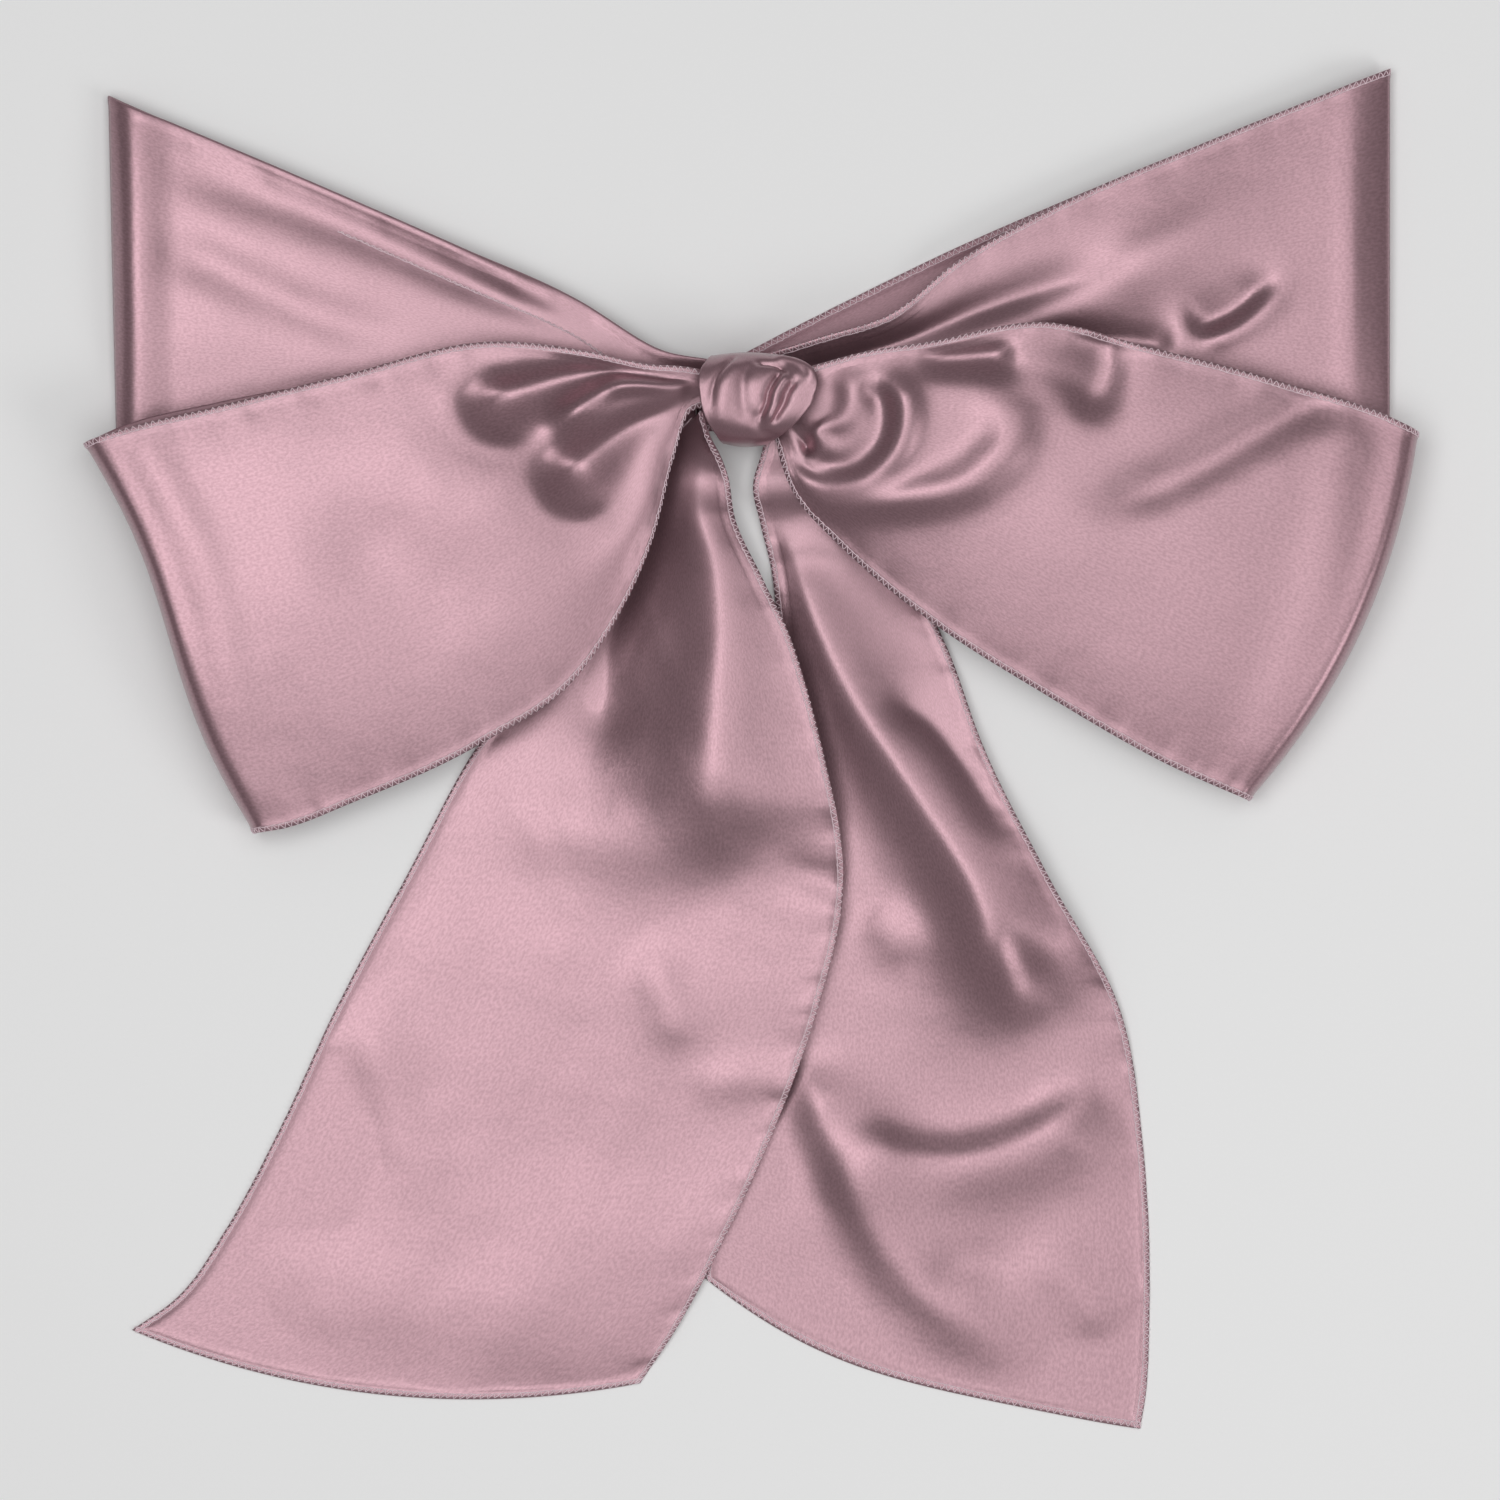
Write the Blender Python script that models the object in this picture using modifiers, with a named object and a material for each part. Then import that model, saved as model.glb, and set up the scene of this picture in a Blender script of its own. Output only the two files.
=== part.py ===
"""A satin chair sash tied in a large bow, laid on a flat surface.

The sash is one long hemmed strip with slanted ends. Its path, from end to end, is a tail, a
loop, the knot, a wing that folds over at its outer edge and returns under the knot to the other
wing, then the other loop and the other tail. Each stretch that shows is one object.

The bow lies on the plane z = 0. +X is to the right and +Y is towards the wings, seen from above.
Lengths in the tables are millimetres.
"""

from collections import namedtuple
from math import cos, pi, sin

import bmesh
import bpy
import numpy as np
from mathutils import Vector

# Driving dimensions, in millimetres
CLOTH = 1.2
HEM_THICK = 1.8
HEM_WIDTH = 4.0
SASH_WIDTH = 170.0
SEAM_GAP = 0.3
KNOT_Y = 122.8
KNOT_Z = 19.0
KNOT_RADIUS_Y = 16.4
KNOT_RADIUS_Z = 16.2
KNOT_BELLY = 1.2
KNOT_FADE = 0.4
CORE_LEFT, CORE_RIGHT = -13.4, 8.5
CORE_INSET = 0.6

MM = 0.001
FLOOR_CLOTH = CLOTH / 2
FLOOR_HEM = HEM_THICK / 2

# How finely each stretch is divided
ALONG_LOOP, ALONG_WING, ALONG_TAIL, ALONG_BAND = 40, 34, 32, 4
ACROSS = 15
WRAP_AROUND, WRAP_ACROSS = 40, 10
CORE_AROUND = 28
CURVE_STEPS = 24
FIRST_FACES = 8

# The angle round the knot where its rings begin, in degrees
LOWEST = -90

# The satin, as linear colour
SATIN_COLOUR = (0.497, 0.292, 0.352, 1.0)
SATIN_ROUGHNESS = 0.35
SATIN_METALLIC = 0.25

# A section crosses the strip from hem A to hem B. Crown lifts its middle, bow pushes its middle
# sideways in plan, and sway pushes its two halves opposite ways.
Section = namedtuple("Section", "ax ay az bx by bz crown bow sway", defaults=(0, 0, 0))

# A fold is a ridge, or a trough where its height is negative, along a smooth curve through plan
# points. Its half width and height run from the first value at the start to the second at the
# end. A crisp of 4 gives a flat middle and steep sides. It rises over the first share of its
# length and falls over the last, and a skew of 0.5 makes its left side three times its right.
Fold = namedtuple(
    "Fold",
    "wide0 wide1 high0 high1 path crisp rise fall skew",
    defaults=(2, 0.0, 0.35, 0.0),
)

# Each angle of the band round the knot: where its left and right edges lie, and how proud it is.
# Angle 0 is the top edge in plan, and 90 is the crest that faces up.
Wrap = namedtuple("Wrap", "angle left right proud")

LEFT_LOOP = [
    Section(-14.0, 132.6, 26.8, -14.0, 120.8, 24.5, 0.3),
    Section(-25.0, 134.2, 28.4, -22.4, 117.3, 23.5, 1.2),
    Section(-35.0, 134.8, 29.0, -27.0, 103.9, 21.2, 3.0),
    Section(-58.0, 139.5, 29.0, -35.5, 71.5, 20.0, 6.0),
    Section(-92.7, 142.7, 28.0, -58.0, 29.6, 19.5, 8.0),
    Section(-143.0, 131.0, 27.0, -96.0, 1.3, 19.0, 9.0),
    Section(-190.0, 119.5, 25.5, -140.0, -18.8, 18.0, 8.0, 0, -1.0),
    Section(-222.5, 111.7, 21.5, -165.5, -28.2, 14.5, 5.0, 0, -2.0),
    Section(-234.4, 107.8, 15.5, -175.0, -29.7, 8.5, 2.0, 0, -3.0),
    Section(-222.5, 113.6, 11.4, -165.5, -27.2, 2.9, -1.0, 0, -2.0),
    Section(-190.0, 121.8, 11.0, -140.0, -16.5, 0.0, -1.0),
    Section(-143.0, 130.5, 11.8, -96.0, 3.0, 6.0, -1.0),
    Section(-92.7, 139.5, 13.0, -58.0, 31.0, 11.8),
    Section(-58.0, 136.0, 14.5, -38.0, 74.0, 13.0),
    Section(-35.0, 131.5, 16.0, -29.5, 105.5, 13.6),
    Section(-24.0, 131.0, 17.0, -23.0, 117.8, 15.2),
    Section(-14.0, 130.5, 17.5, -14.0, 121.3, 16.6),
]
LEFT_LOOP_TURN = 8

LEFT_LOOP_FOLDS = [
    Fold(2, 13, -1, -9, [(-24, 131), (-54, 133), (-90, 123)], 4, 0, 0),
    Fold(2, 12, -1, -9, [(-27, 119), (-42, 107), (-58, 96)], 4, 0, 0),
    Fold(2.5, 7, 1, 4, [(-26, 130), (-50, 132), (-70, 117), (-77, 99)]),
    Fold(2.5, 4, 1, 3, [(-25, 126), (-36, 127.5), (-46, 128)], 2, 0, 0),
    Fold(3, 12, 0.5, 3, [(-26, 112), (-35, 86), (-60, 52)], 2, 0, 0.5),
    Fold(9, 13, 2.5, 2.5, [(-213, 106), (-190, 55), (-176, -10)], 2, 0, 0),
    Fold(18, 24, -2.5, -2.5, [(-160, 90), (-125, 65), (-85, 35)], 2, 0.4, 0.4),
]

RIGHT_LOOP = [
    Section(8.9, 130.4, 26.4, 8.9, 110.0, 18.0, 1.0),
    Section(19.0, 133.6, 26.8, 10.0, 102.8, 18.5, 2.5, -5.0),
    Section(38.0, 138.7, 29.5, 15.5, 89.3, 17.5, 3.0),
    Section(62.0, 142.5, 29.5, 33.0, 70.0, 18.0, 6.0),
    Section(100.0, 149.6, 29.0, 64.0, 44.3, 18.5, 8.0),
    Section(140.0, 140.7, 28.0, 103.0, 19.4, 18.5, 9.0, -2.0),
    Section(186.0, 128.8, 26.0, 144.0, -4.2, 17.5, 8.0, -6.0),
    Section(222.5, 117.4, 21.0, 167.0, -14.6, 14.0, 5.0, -10.0),
    Section(234.4, 111.7, 15.0, 175.2, -18.1, 8.0, 2.0, -11.0),
    Section(222.5, 116.6, 11.0, 167.0, -13.6, 2.9, -1.0, -10.0),
    Section(186.0, 127.5, 11.0, 144.0, -3.0, 0.0, -1.0, -6.0),
    Section(140.0, 138.5, 11.8, 103.0, 20.5, 6.5, -1.0, -2.0),
    Section(100.0, 146.5, 12.8, 64.0, 45.5, 11.8),
    Section(62.0, 139.5, 14.5, 37.0, 71.5, 12.5),
    Section(38.0, 135.5, 16.0, 21.0, 92.0, 13.0),
    Section(22.0, 131.5, 17.5, 13.5, 106.5, 14.0, 0, -3.0),
    Section(8.9, 128.5, 17.5, 8.9, 112.5, 14.5),
]
RIGHT_LOOP_TURN = 8

RIGHT_LOOP_FOLDS = [
    Fold(2.5, 7, 1, 4, [(11, 99), (22, 88), (49, 87.5), (80, 96), (91, 110), (89, 123), (102, 135)]),
    Fold(2, 3.5, 1, 3.5, [(14, 101), (24, 94), (39, 95), (50, 105), (52.5, 120), (45, 133)]),
    Fold(1.8, 2.5, 0.5, 2.5, [(20, 112), (33, 118), (35.5, 127), (33, 135)]),
    Fold(2.5, 2.5, -2.5, -2.5, [(21, 107), (23, 104.5)], 3, 0, 0),
    Fold(2.5, 4.5, -0.5, -4, [(25, 103), (38, 103), (43, 116), (41, 131)], 2, 0.2, 0.2),
    Fold(4, 5, -4, -5, [(72, 139), (85, 136), (101, 139)], 3, 0.2, 0),
    Fold(6, 9, -4, -4, [(124, 141), (128, 130), (134, 116)], 2, 0, 0.3),
    Fold(9, 6, -4, -3, [(106, 88), (126, 95.5), (150, 104), (174, 116), (192, 124)], 2, 0.3),
    Fold(9, 13, 2.5, 2.5, [(208, 108), (206, 60), (184, 0)], 2, 0, 0),
]

LEFT_WING = [
    Section(-14.7, 137.4, 9.0, -15.0, 124.0, 4.0),
    Section(-33.0, 141.3, 10.5, -40.0, 124.0, 6.5, 1.0),
    Section(-60.0, 157.8, 10.5, -62.0, 121.5, 6.0, 2.0),
    Section(-101.6, 176.6, 10.0, -107.0, 114.0, 5.5, 3.0),
    Section(-155.0, 200.0, 9.5, -160.0, 106.0, 5.0, 4.0),
    Section(-203.0, 220.4, 9.0, -203.0, 99.5, 4.6, 4.0),
    Section(-219.5, 227.6, 7.6, -217.5, 97.3, 4.2, 2.5),
    Section(-227.0, 230.9, 4.4, -224.0, 96.8, 2.9, 0.8),
    Section(-219.5, 227.6, 0.0, -217.5, 97.3, 0.0),
    Section(-203.0, 220.4, 0.0, -203.0, 98.5, 0.0),
    Section(-155.0, 200.0, 0.0, -160.0, 104.0, 0.0),
    Section(-101.6, 176.6, 0.0, -107.0, 111.0, 0.0),
    Section(-60.0, 157.8, 0.0, -62.0, 117.5, 0.0),
    Section(-33.0, 141.3, 0.0, -40.0, 115.0, 0.0),
    Section(-19.6, 137.0, 0.0, -19.6, 112.5, 0.0),
]
LEFT_WING_TURN = 7

LEFT_WING_FOLDS = [
    Fold(9, 3, -4, -2.5, [(-215, 210), (-184, 198), (-149, 185.5), (-95, 162), (-48, 142)], 2, 0.2),
    Fold(6, 4, 1.5, 2.5, [(-190, 215), (-120, 184), (-60, 153)], 2, 0.2, 0.2),
    Fold(8, 6, -3, -2, [(-212, 182), (-174, 162.5), (-149, 152), (-112, 145)], 2, 0.2),
    Fold(6, 6, 1.5, 1.5, [(-212, 205), (-213, 165), (-212, 125)], 2, 0.2, 0.2),
]

RIGHT_WING = [
    Section(2.0, 138.6, 6.0, 16.0, 124.5, 2.9, -0.9),
    Section(25.0, 145.6, 9.5, 34.0, 125.0, 5.0),
    Section(50.0, 154.0, 10.5, 62.0, 124.0, 6.0, 1.0),
    Section(72.0, 171.5, 10.5, 90.0, 122.0, 5.6, 2.0),
    Section(110.0, 192.6, 10.0, 125.0, 118.0, 5.4, 3.0),
    Section(160.0, 213.9, 9.5, 168.0, 108.0, 5.0, 4.0),
    Section(203.0, 231.3, 9.0, 203.0, 96.5, 4.6, 4.0),
    Section(218.5, 237.5, 7.6, 218.5, 90.0, 4.2, 2.5),
    Section(225.5, 240.3, 4.4, 225.5, 88.0, 2.9, 0.8),
    Section(218.5, 237.5, 0.0, 218.5, 90.0, 0.0),
    Section(203.0, 231.3, 0.0, 203.0, 95.5, 0.0),
    Section(160.0, 214.2, 0.0, 168.0, 105.0, 0.0),
    Section(110.0, 193.6, 0.0, 125.0, 115.0, 0.0),
    Section(72.0, 177.0, 0.0, 90.0, 118.0, 0.0),
    Section(37.0, 160.0, 0.0, 62.0, 118.0, 0.0),
    Section(15.0, 149.0, 0.0, 36.0, 115.0, 0.0),
    Section(-3.0, 139.6, 0.0, 20.0, 112.5, 0.0),
]
RIGHT_WING_TURN = 8

RIGHT_WING_FOLDS = [
    Fold(3, 9, -1.5, -4, [(24, 141), (53, 151), (74, 160), (106, 170), (142, 179)]),
    Fold(5, 14, 1.5, 2.5, [(60, 144), (110, 164), (190, 200)], 2, 0.2),
    Fold(5, 6, -4, -4, [(156, 150), (170, 157), (179, 167)], 3, 0.3, 0),
    Fold(4, 6, 2, 1.5, [(163, 147), (180, 156), (194, 173)], 2, 0.3),
    Fold(5, 5, -3.5, -3, [(92, 146), (125, 151), (152, 148)], 2, 0.3),
    Fold(6, 6, 1.5, 1.5, [(212, 215), (214, 175), (212, 125)], 2, 0.2, 0.2),
]

BACK_BAND = [
    Section(-19.3, 137.0, 0.0, -19.3, 112.5, 0.0),
    Section(-12.0, 137.6, 0.0, -4.0, 112.3, 0.0),
    Section(-3.4, 139.2, 0.0, 19.6, 112.2, 0.0),
]

LEFT_TAIL = [
    Section(-21.0, 115.6, 16.5, -17.3, 118.4, 31.2),
    Section(-23.4, 110.0, 11.0, -14.4, 109.6, 27.0),
    Section(-25.5, 104.0, 7.5, -11.0, 103.5, 18.5, 2.0),
    Section(-29.5, 97.0, 4.5, -8.4, 97.0, 13.5, 3.0),
    Section(-39.3, 81.1, 2.0, -5.7, 81.1, 11.0, 4.0),
    Section(-54.0, 57.0, 0.0, 3.8, 60.5, 9.0, 2.5),
    Section(-74.5, 29.5, 0.0, 13.6, 40.0, 8.0, 0.5),
    Section(-97.7, -0.4, 0.0, 25.4, -1.0, 7.0, -1.0),
    Section(-120.7, -42.8, 0.0, 32.6, -44.0, 6.5, -1.5),
    Section(-147.0, -92.2, 0.0, 24.6, -88.0, 6.0, -1.5),
    Section(-170.0, -134.0, 0.0, 10.0, -130.0, 5.5, -1.5),
    Section(-192.5, -169.5, 0.0, -7.0, -168.0, 4.5, -1.2, 4),
    Section(-210.0, -195.0, 0.0, -27.0, -206.0, 2.0, -0.5, 10),
    Section(-219.0, -205.7, 0.0, -39.3, -224.4, 0.0, 0, 13.5),
]

LEFT_TAIL_FOLDS = [
    Fold(3, 15, 1, 5, [(-17, 106), (-16, 84), (-12, 62), (-11, 25), (-11, -12), (-4, -52)],
         2, 0.2, 0.3, 0.3),
    Fold(4, 12, -1, -5, [(-27, 93), (-34, 60), (-38, 25), (-37, 6)], 3, 0.2, 0),
    Fold(15, 15, 3, 4, [(-104, -8), (-62, -26), (-22, -32)], 2, 0.5, 0.3),
    Fold(11, 15, 2.5, 2.5, [(-142, -92), (-129, -118), (-114, -166)], 2, 0.3, 0.4),
    Fold(7, 11, 2.5, 2.5, [(17, -118), (-2, -116), (-26, -124)], 2, 0, 0.5),
    Fold(10, 9, 3, 3, [(-40, -64), (-28, -92), (-22, -110)], 2, 0.4, 0.2),
    Fold(5, 6, -2, -2, [(33, -49), (20, -44), (6, -40)], 2, 0, 0.5),
    Fold(20, 24, 3, 3, [(-178, -172), (-120, -196), (-62, -186), (-30, -152)], 2, 0.3, 0.4),
]

RIGHT_TAIL = [
    Section(5.2, 110.5, 6.8, 14.5, 111.5, 8.6),
    Section(3.4, 103.5, 6.2, 18.5, 104.5, 8.2),
    Section(0.8, 94.5, 5.0, 27.0, 96.0, 6.6, 1.0),
    Section(3.2, 80.0, 2.5, 43.5, 83.0, 4.6, 1.0),
    Section(7.0, 64.0, 0.5, 57.0, 60.5, 2.5, 0.5),
    Section(9.5, 40.0, 0.0, 68.3, 38.0, 1.0),
    Section(6.0, 0.0, 0.0, 83.0, -1.5, 0.0),
    Section(0.0, -45.0, 0.0, 105.6, -46.4, 0.0),
    Section(-6.0, -90.0, 0.0, 130.0, -91.0, 0.0),
    Section(-11.0, -132.0, 0.0, 138.6, -140.0, 0.0, 0, 2),
    Section(-14.3, -165.0, 0.0, 141.0, -195.0, 0.0, 0, 5),
    Section(-15.8, -181.0, 0.0, 139.4, -230.0, 0.0, 0, 9),
    Section(-16.3, -187.3, 0.0, 137.6, -240.6, 0.0, 0, 11, 2),
]

RIGHT_TAIL_FOLDS = [
    Fold(5, 9, 3, 6, [(12, 55), (28, 27), (60, -19), (79, -52), (87, -76), (97, -98), (119, -107)],
         2, 0.1, 0.15, 0.45),
    Fold(10, 10, 2, 5, [(36, -143), (62, -145), (87, -142), (107, -134), (123, -118)],
         2, 0.25, 0.2, -0.35),
    Fold(12, 16, 5, 4, [(20, -108), (32, -132), (45, -158), (60, -182), (98, -208)],
         2, 0.15, 0.3, 0.3),
    Fold(4, 5, 2.5, 2.5, [(8, 62), (20, 66), (38, 64)], 2, 0, 0.3),
    Fold(14, 14, 3, 3, [(28, -52), (48, -66), (60, -84)], 2, 0.4, 0.4),
    Fold(14, 18, 3, 3, [(92, -166), (116, -184), (134, -212)], 2, 0.4, 0.2),
]

# Creases pressed into the knot, as folds seen from above
WRAP_FOLDS = [
    Fold(1.8, 2.6, -1.0, -1.4, [(11, 134), (8.5, 129), (3.0, 115), (2.5, 108)], 2, 0.1, 0.2),
    Fold(2.2, 2.2, -1.2, -0.6, [(-8, 139), (-12, 131), (-15.5, 121)], 2, 0.0, 0.3),
    Fold(2.0, 2.6, 0.8, 1.2, [(-3, 137), (-2, 128), (-6, 114)], 2, 0.2, 0.3),
    Fold(2.4, 2.0, -1.3, -0.8, [(22, 129), (16, 131.5), (7, 133)], 2, 0.1, 0.2),
]

WRAP = [
    Wrap(-90, -14.0, 12.0, 0.0),
    Wrap(-40, -14.0, 11.5, 0.0),
    Wrap(0, -13.8, 11.5, 0.0),
    Wrap(35, -15.5, 15.0, 0.1),
    Wrap(60, -17.8, 21.5, 0.5),
    Wrap(80, -18.4, 23.2, 0.6),
    Wrap(105, -17.8, 19.5, 0.4),
    Wrap(140, -13.0, 12.0, 0.1),
    Wrap(180, -9.0, 6.2, 0.0),
    Wrap(225, -12.0, 9.0, 0.0),
    Wrap(270, -14.0, 12.0, 0.0),
]


def smooth(t):
    """0 to 1 with no slope at either end."""
    t = np.clip(t, 0.0, 1.0)
    return t * t * (3.0 - 2.0 * t)


def hermite(values, knots, at):
    """Each column of values, as a smooth curve through the rows, read at the given knots."""
    slopes = np.gradient(values, knots, axis=0)
    cell = np.clip(np.searchsorted(knots, at, side="right") - 1, 0, len(knots) - 2)
    width = (knots[cell + 1] - knots[cell])[:, None]
    t = (at[:, None] - knots[cell][:, None]) / width
    start, end = values[cell], values[cell + 1]
    slope_start, slope_end = slopes[cell] * width, slopes[cell + 1] * width
    return (
        (2 * t**3 - 3 * t**2 + 1) * start
        + (t**3 - 2 * t**2 + t) * slope_start
        + (3 * t**2 - 2 * t**3) * end
        + (t**3 - t**2) * slope_end
    )


def sections_at(sections, count):
    """The sections read at count places, evenly spaced along the strip, and where the rows lie."""
    table = np.array(sections, float)
    middles = (table[:, 0:3] + table[:, 3:6]) / 2
    steps = np.linalg.norm(np.diff(middles, axis=0), axis=1)
    knots = np.concatenate([[0.0], np.cumsum(steps)])
    at = np.linspace(0.0, knots[-1], count + 1)
    return hermite(table, knots, at), at, knots


def fold_height(fold, x, y):
    """The fold's height at plan points."""
    path = np.array(fold.path, float)
    lengths = np.hypot(*np.diff(path, axis=0).T)
    knots = np.concatenate([[0.0], np.cumsum(lengths)])
    curve = hermite(path, knots, np.linspace(0.0, knots[-1], CURVE_STEPS + 1))
    nearest = np.full(x.shape, np.inf)
    along, side = np.zeros(x.shape), np.zeros(x.shape)
    for i, (start, end) in enumerate(zip(curve, curve[1:])):
        way = end - start
        px, py = x - start[0], y - start[1]
        share = np.clip((px * way[0] + py * way[1]) / (way @ way), 0.0, 1.0)
        distance = np.hypot(px - share * way[0], py - share * way[1])
        closer = distance < nearest
        nearest = np.where(closer, distance, nearest)
        along = np.where(closer, (i + share) / CURVE_STEPS, along)
        side = np.where(closer, np.sign(way[0] * py - way[1] * px), side)
    wide = fold.wide0 + (fold.wide1 - fold.wide0) * along
    high = fold.high0 + (fold.high1 - fold.high0) * along
    if fold.rise:
        high = high * smooth(along / fold.rise)
    if fold.fall:
        high = high * smooth((1 - along) / fold.fall)
    return high * np.exp(-((nearest / (wide * (1 + fold.skew * side))) ** fold.crisp))


def strip_surface(sections, count, across, folds=(), turn=None):
    """The points of a stretch of the strip, as rows from hem A to hem B.

    Folds are pressed only into the face before the turn, and fade out on the way to it.
    """
    rows, at, knots = sections_at(sections, count)
    v = across[None, :]
    a, b = rows[:, None, 0:3], rows[:, None, 3:6]
    crown, bow, sway = (rows[:, 6 + k][:, None] for k in range(3))
    points = a + (b - a) * v[..., None]
    arch = 1 - (2 * v - 1) ** 2
    outward = np.stack([b[..., 1] - a[..., 1], a[..., 0] - b[..., 0]], axis=-1)
    outward = outward / np.linalg.norm(outward, axis=-1, keepdims=True)
    push = bow * arch + sway * np.sin(2 * pi * v)
    points[..., 0:2] += outward * push[..., None]
    points[..., 2] += crown * arch
    face = np.ones(len(rows))
    if turn is not None:
        face = smooth((knots[turn - 1] - at) / (knots[turn - 1] - knots[turn - 2]))
    x, y = points[..., 0].copy(), points[..., 1].copy()
    for fold in folds:
        points[..., 2] += fold_height(fold, x, y) * face[:, None]
    return points


def across_strip():
    """Places across the strip, with a narrow hem at each edge."""
    hem = HEM_WIDTH / SASH_WIDTH
    inner = np.linspace(2 * hem, 1 - 2 * hem, ACROSS - 3)
    return np.concatenate([[0.0, hem], inner, [1 - hem, 1.0]])


def rest_on_floor(points, is_hem):
    """Lifts every point just enough for the wall's underside to lie on the floor."""
    least = np.where(is_hem, FLOOR_HEM, FLOOR_CLOTH)[None, :]
    points[..., 2] = np.maximum(points[..., 2], least)
    return points


def satin():
    material = bpy.data.materials.get("satin") or bpy.data.materials.new("satin")
    material.use_nodes = True
    shader = material.node_tree.nodes["Principled BSDF"]
    shader.inputs["Base Color"].default_value = SATIN_COLOUR
    shader.inputs["Roughness"].default_value = SATIN_ROUGHNESS
    shader.inputs["Metallic"].default_value = SATIN_METALLIC
    return material


def grid_faces(rows, columns, closed=False):
    """Quads over a grid of points, wrapped round its first direction if closed."""
    faces = []
    for i in range(rows if closed else rows - 1):
        for j in range(columns - 1):
            k = (i + 1) % rows
            faces.append((i * columns + j, k * columns + j, k * columns + j + 1, i * columns + j + 1))
    return faces


def add_object(name, points, faces, collection):
    mesh = bpy.data.meshes.new(name)
    mesh.from_pydata([tuple(p) for p in points.reshape(-1, 3) * MM], [], faces)
    mesh.shade_smooth()
    mesh.materials.append(satin())
    made = bpy.data.objects.new(name, mesh)
    collection.objects.link(made)
    return made


def face_outwards(made, way):
    """Makes the faces agree, with the first ones turned towards the given way."""
    work = bmesh.new()
    work.from_mesh(made.data)
    bmesh.ops.recalc_face_normals(work, faces=work.faces)
    work.faces.ensure_lookup_table()
    if sum(face.normal.dot(way) for face in work.faces[:FIRST_FACES]) < 0:
        bmesh.ops.reverse_faces(work, faces=work.faces)
    work.to_mesh(made.data)
    work.free()


def add_wall(made, hem_columns, columns):
    """Gives an open surface the cloth's thickness, and its hems theirs."""
    group = made.vertex_groups.new(name="thickness")
    for vertex in made.data.vertices:
        full = (vertex.index % columns) in hem_columns
        group.add([vertex.index], 1.0 if full else CLOTH / HEM_THICK, "REPLACE")
    wall = made.modifiers.new("wall", "SOLIDIFY")
    wall.thickness = HEM_THICK * MM
    wall.offset = 0.0
    wall.vertex_group = "thickness"
    return made


def add_stretch(name, sections, count, collection, folds=(), turn=None):
    """One stretch of the strip, as a wall of cloth with a hem along both edges."""
    across = across_strip()
    hems = {0, 1, len(across) - 2, len(across) - 1}
    is_hem = np.array([i in hems for i in range(len(across))])
    points = strip_surface(sections, count, across, folds, turn)
    points = rest_on_floor(points, is_hem)
    faces = grid_faces(len(points), len(across))
    made = add_object(name, points, faces, collection)
    face_outwards(made, Vector((0, 0, 1)))
    return add_wall(made, hems, len(across))


def wrap_edges(angle):
    """Where the knot's band begins and ends along X at an angle, and how proud it is."""
    table = np.array(WRAP, float)
    return hermite(table[:, 1:], table[:, 0], np.array([angle]))[0]


def add_knot_wrap(collection):
    """The band of cloth round the knot, as a ring with slanted edges."""
    rings = []
    for i in range(WRAP_AROUND):
        angle = LOWEST + 360 * i / WRAP_AROUND
        left, right, proud = wrap_edges(angle)
        turn = angle * pi / 180
        share = np.linspace(0.0, 1.0, WRAP_ACROSS + 1)
        x = left + (right - left) * share
        belly = proud + KNOT_BELLY * (1 - (2 * share - 1) ** 2) - CLOTH
        if sin(turn) > 0:
            y = KNOT_Y + KNOT_RADIUS_Y * cos(turn) + 0 * x
            for fold in WRAP_FOLDS:
                belly += fold_height(fold, x, y) * smooth(sin(turn) / KNOT_FADE)
        rings.append(
            np.stack(
                [
                    x,
                    KNOT_Y + (KNOT_RADIUS_Y + belly) * cos(turn),
                    KNOT_Z + (KNOT_RADIUS_Z + belly) * sin(turn),
                ],
                axis=-1,
            )
        )
    points = np.array(rings)
    faces = grid_faces(WRAP_AROUND, WRAP_ACROSS + 1, closed=True)
    made = add_object("knot_wrap", points, faces, collection)
    face_outwards(made, Vector((0, 0, -1)))
    return add_wall(made, {0, WRAP_ACROSS}, WRAP_ACROSS + 1)


def add_knot_core(collection):
    """The gathered layers inside the knot, as one rounded solid that the stretches run into."""
    radius_y = KNOT_RADIUS_Y - 2 * CLOTH - SEAM_GAP
    radius_z = KNOT_RADIUS_Z - 2 * CLOTH - SEAM_GAP
    left_ring, right_ring = [], []
    for i in range(CORE_AROUND):
        angle = LOWEST + 360 * i / CORE_AROUND
        turn = angle * pi / 180
        left, right, _ = wrap_edges(angle)
        y, z = KNOT_Y + radius_y * cos(turn), KNOT_Z + radius_z * sin(turn)
        left_ring.append((max(CORE_LEFT, left + CORE_INSET), y, z))
        right_ring.append((min(CORE_RIGHT, right - CORE_INSET), y, z))
    centres = [(CORE_LEFT, KNOT_Y, KNOT_Z), (CORE_RIGHT, KNOT_Y, KNOT_Z)]
    points = np.array(left_ring + right_ring + centres)
    faces = []
    for i in range(CORE_AROUND):
        k = (i + 1) % CORE_AROUND
        faces.append((i, k, CORE_AROUND + k, CORE_AROUND + i))
        faces.append((k, i, 2 * CORE_AROUND))
        faces.append((CORE_AROUND + i, CORE_AROUND + k, 2 * CORE_AROUND + 1))
    made = add_object("knot_core", points, faces, collection)
    face_outwards(made, Vector((0, 0, -1)))
    return made


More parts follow.
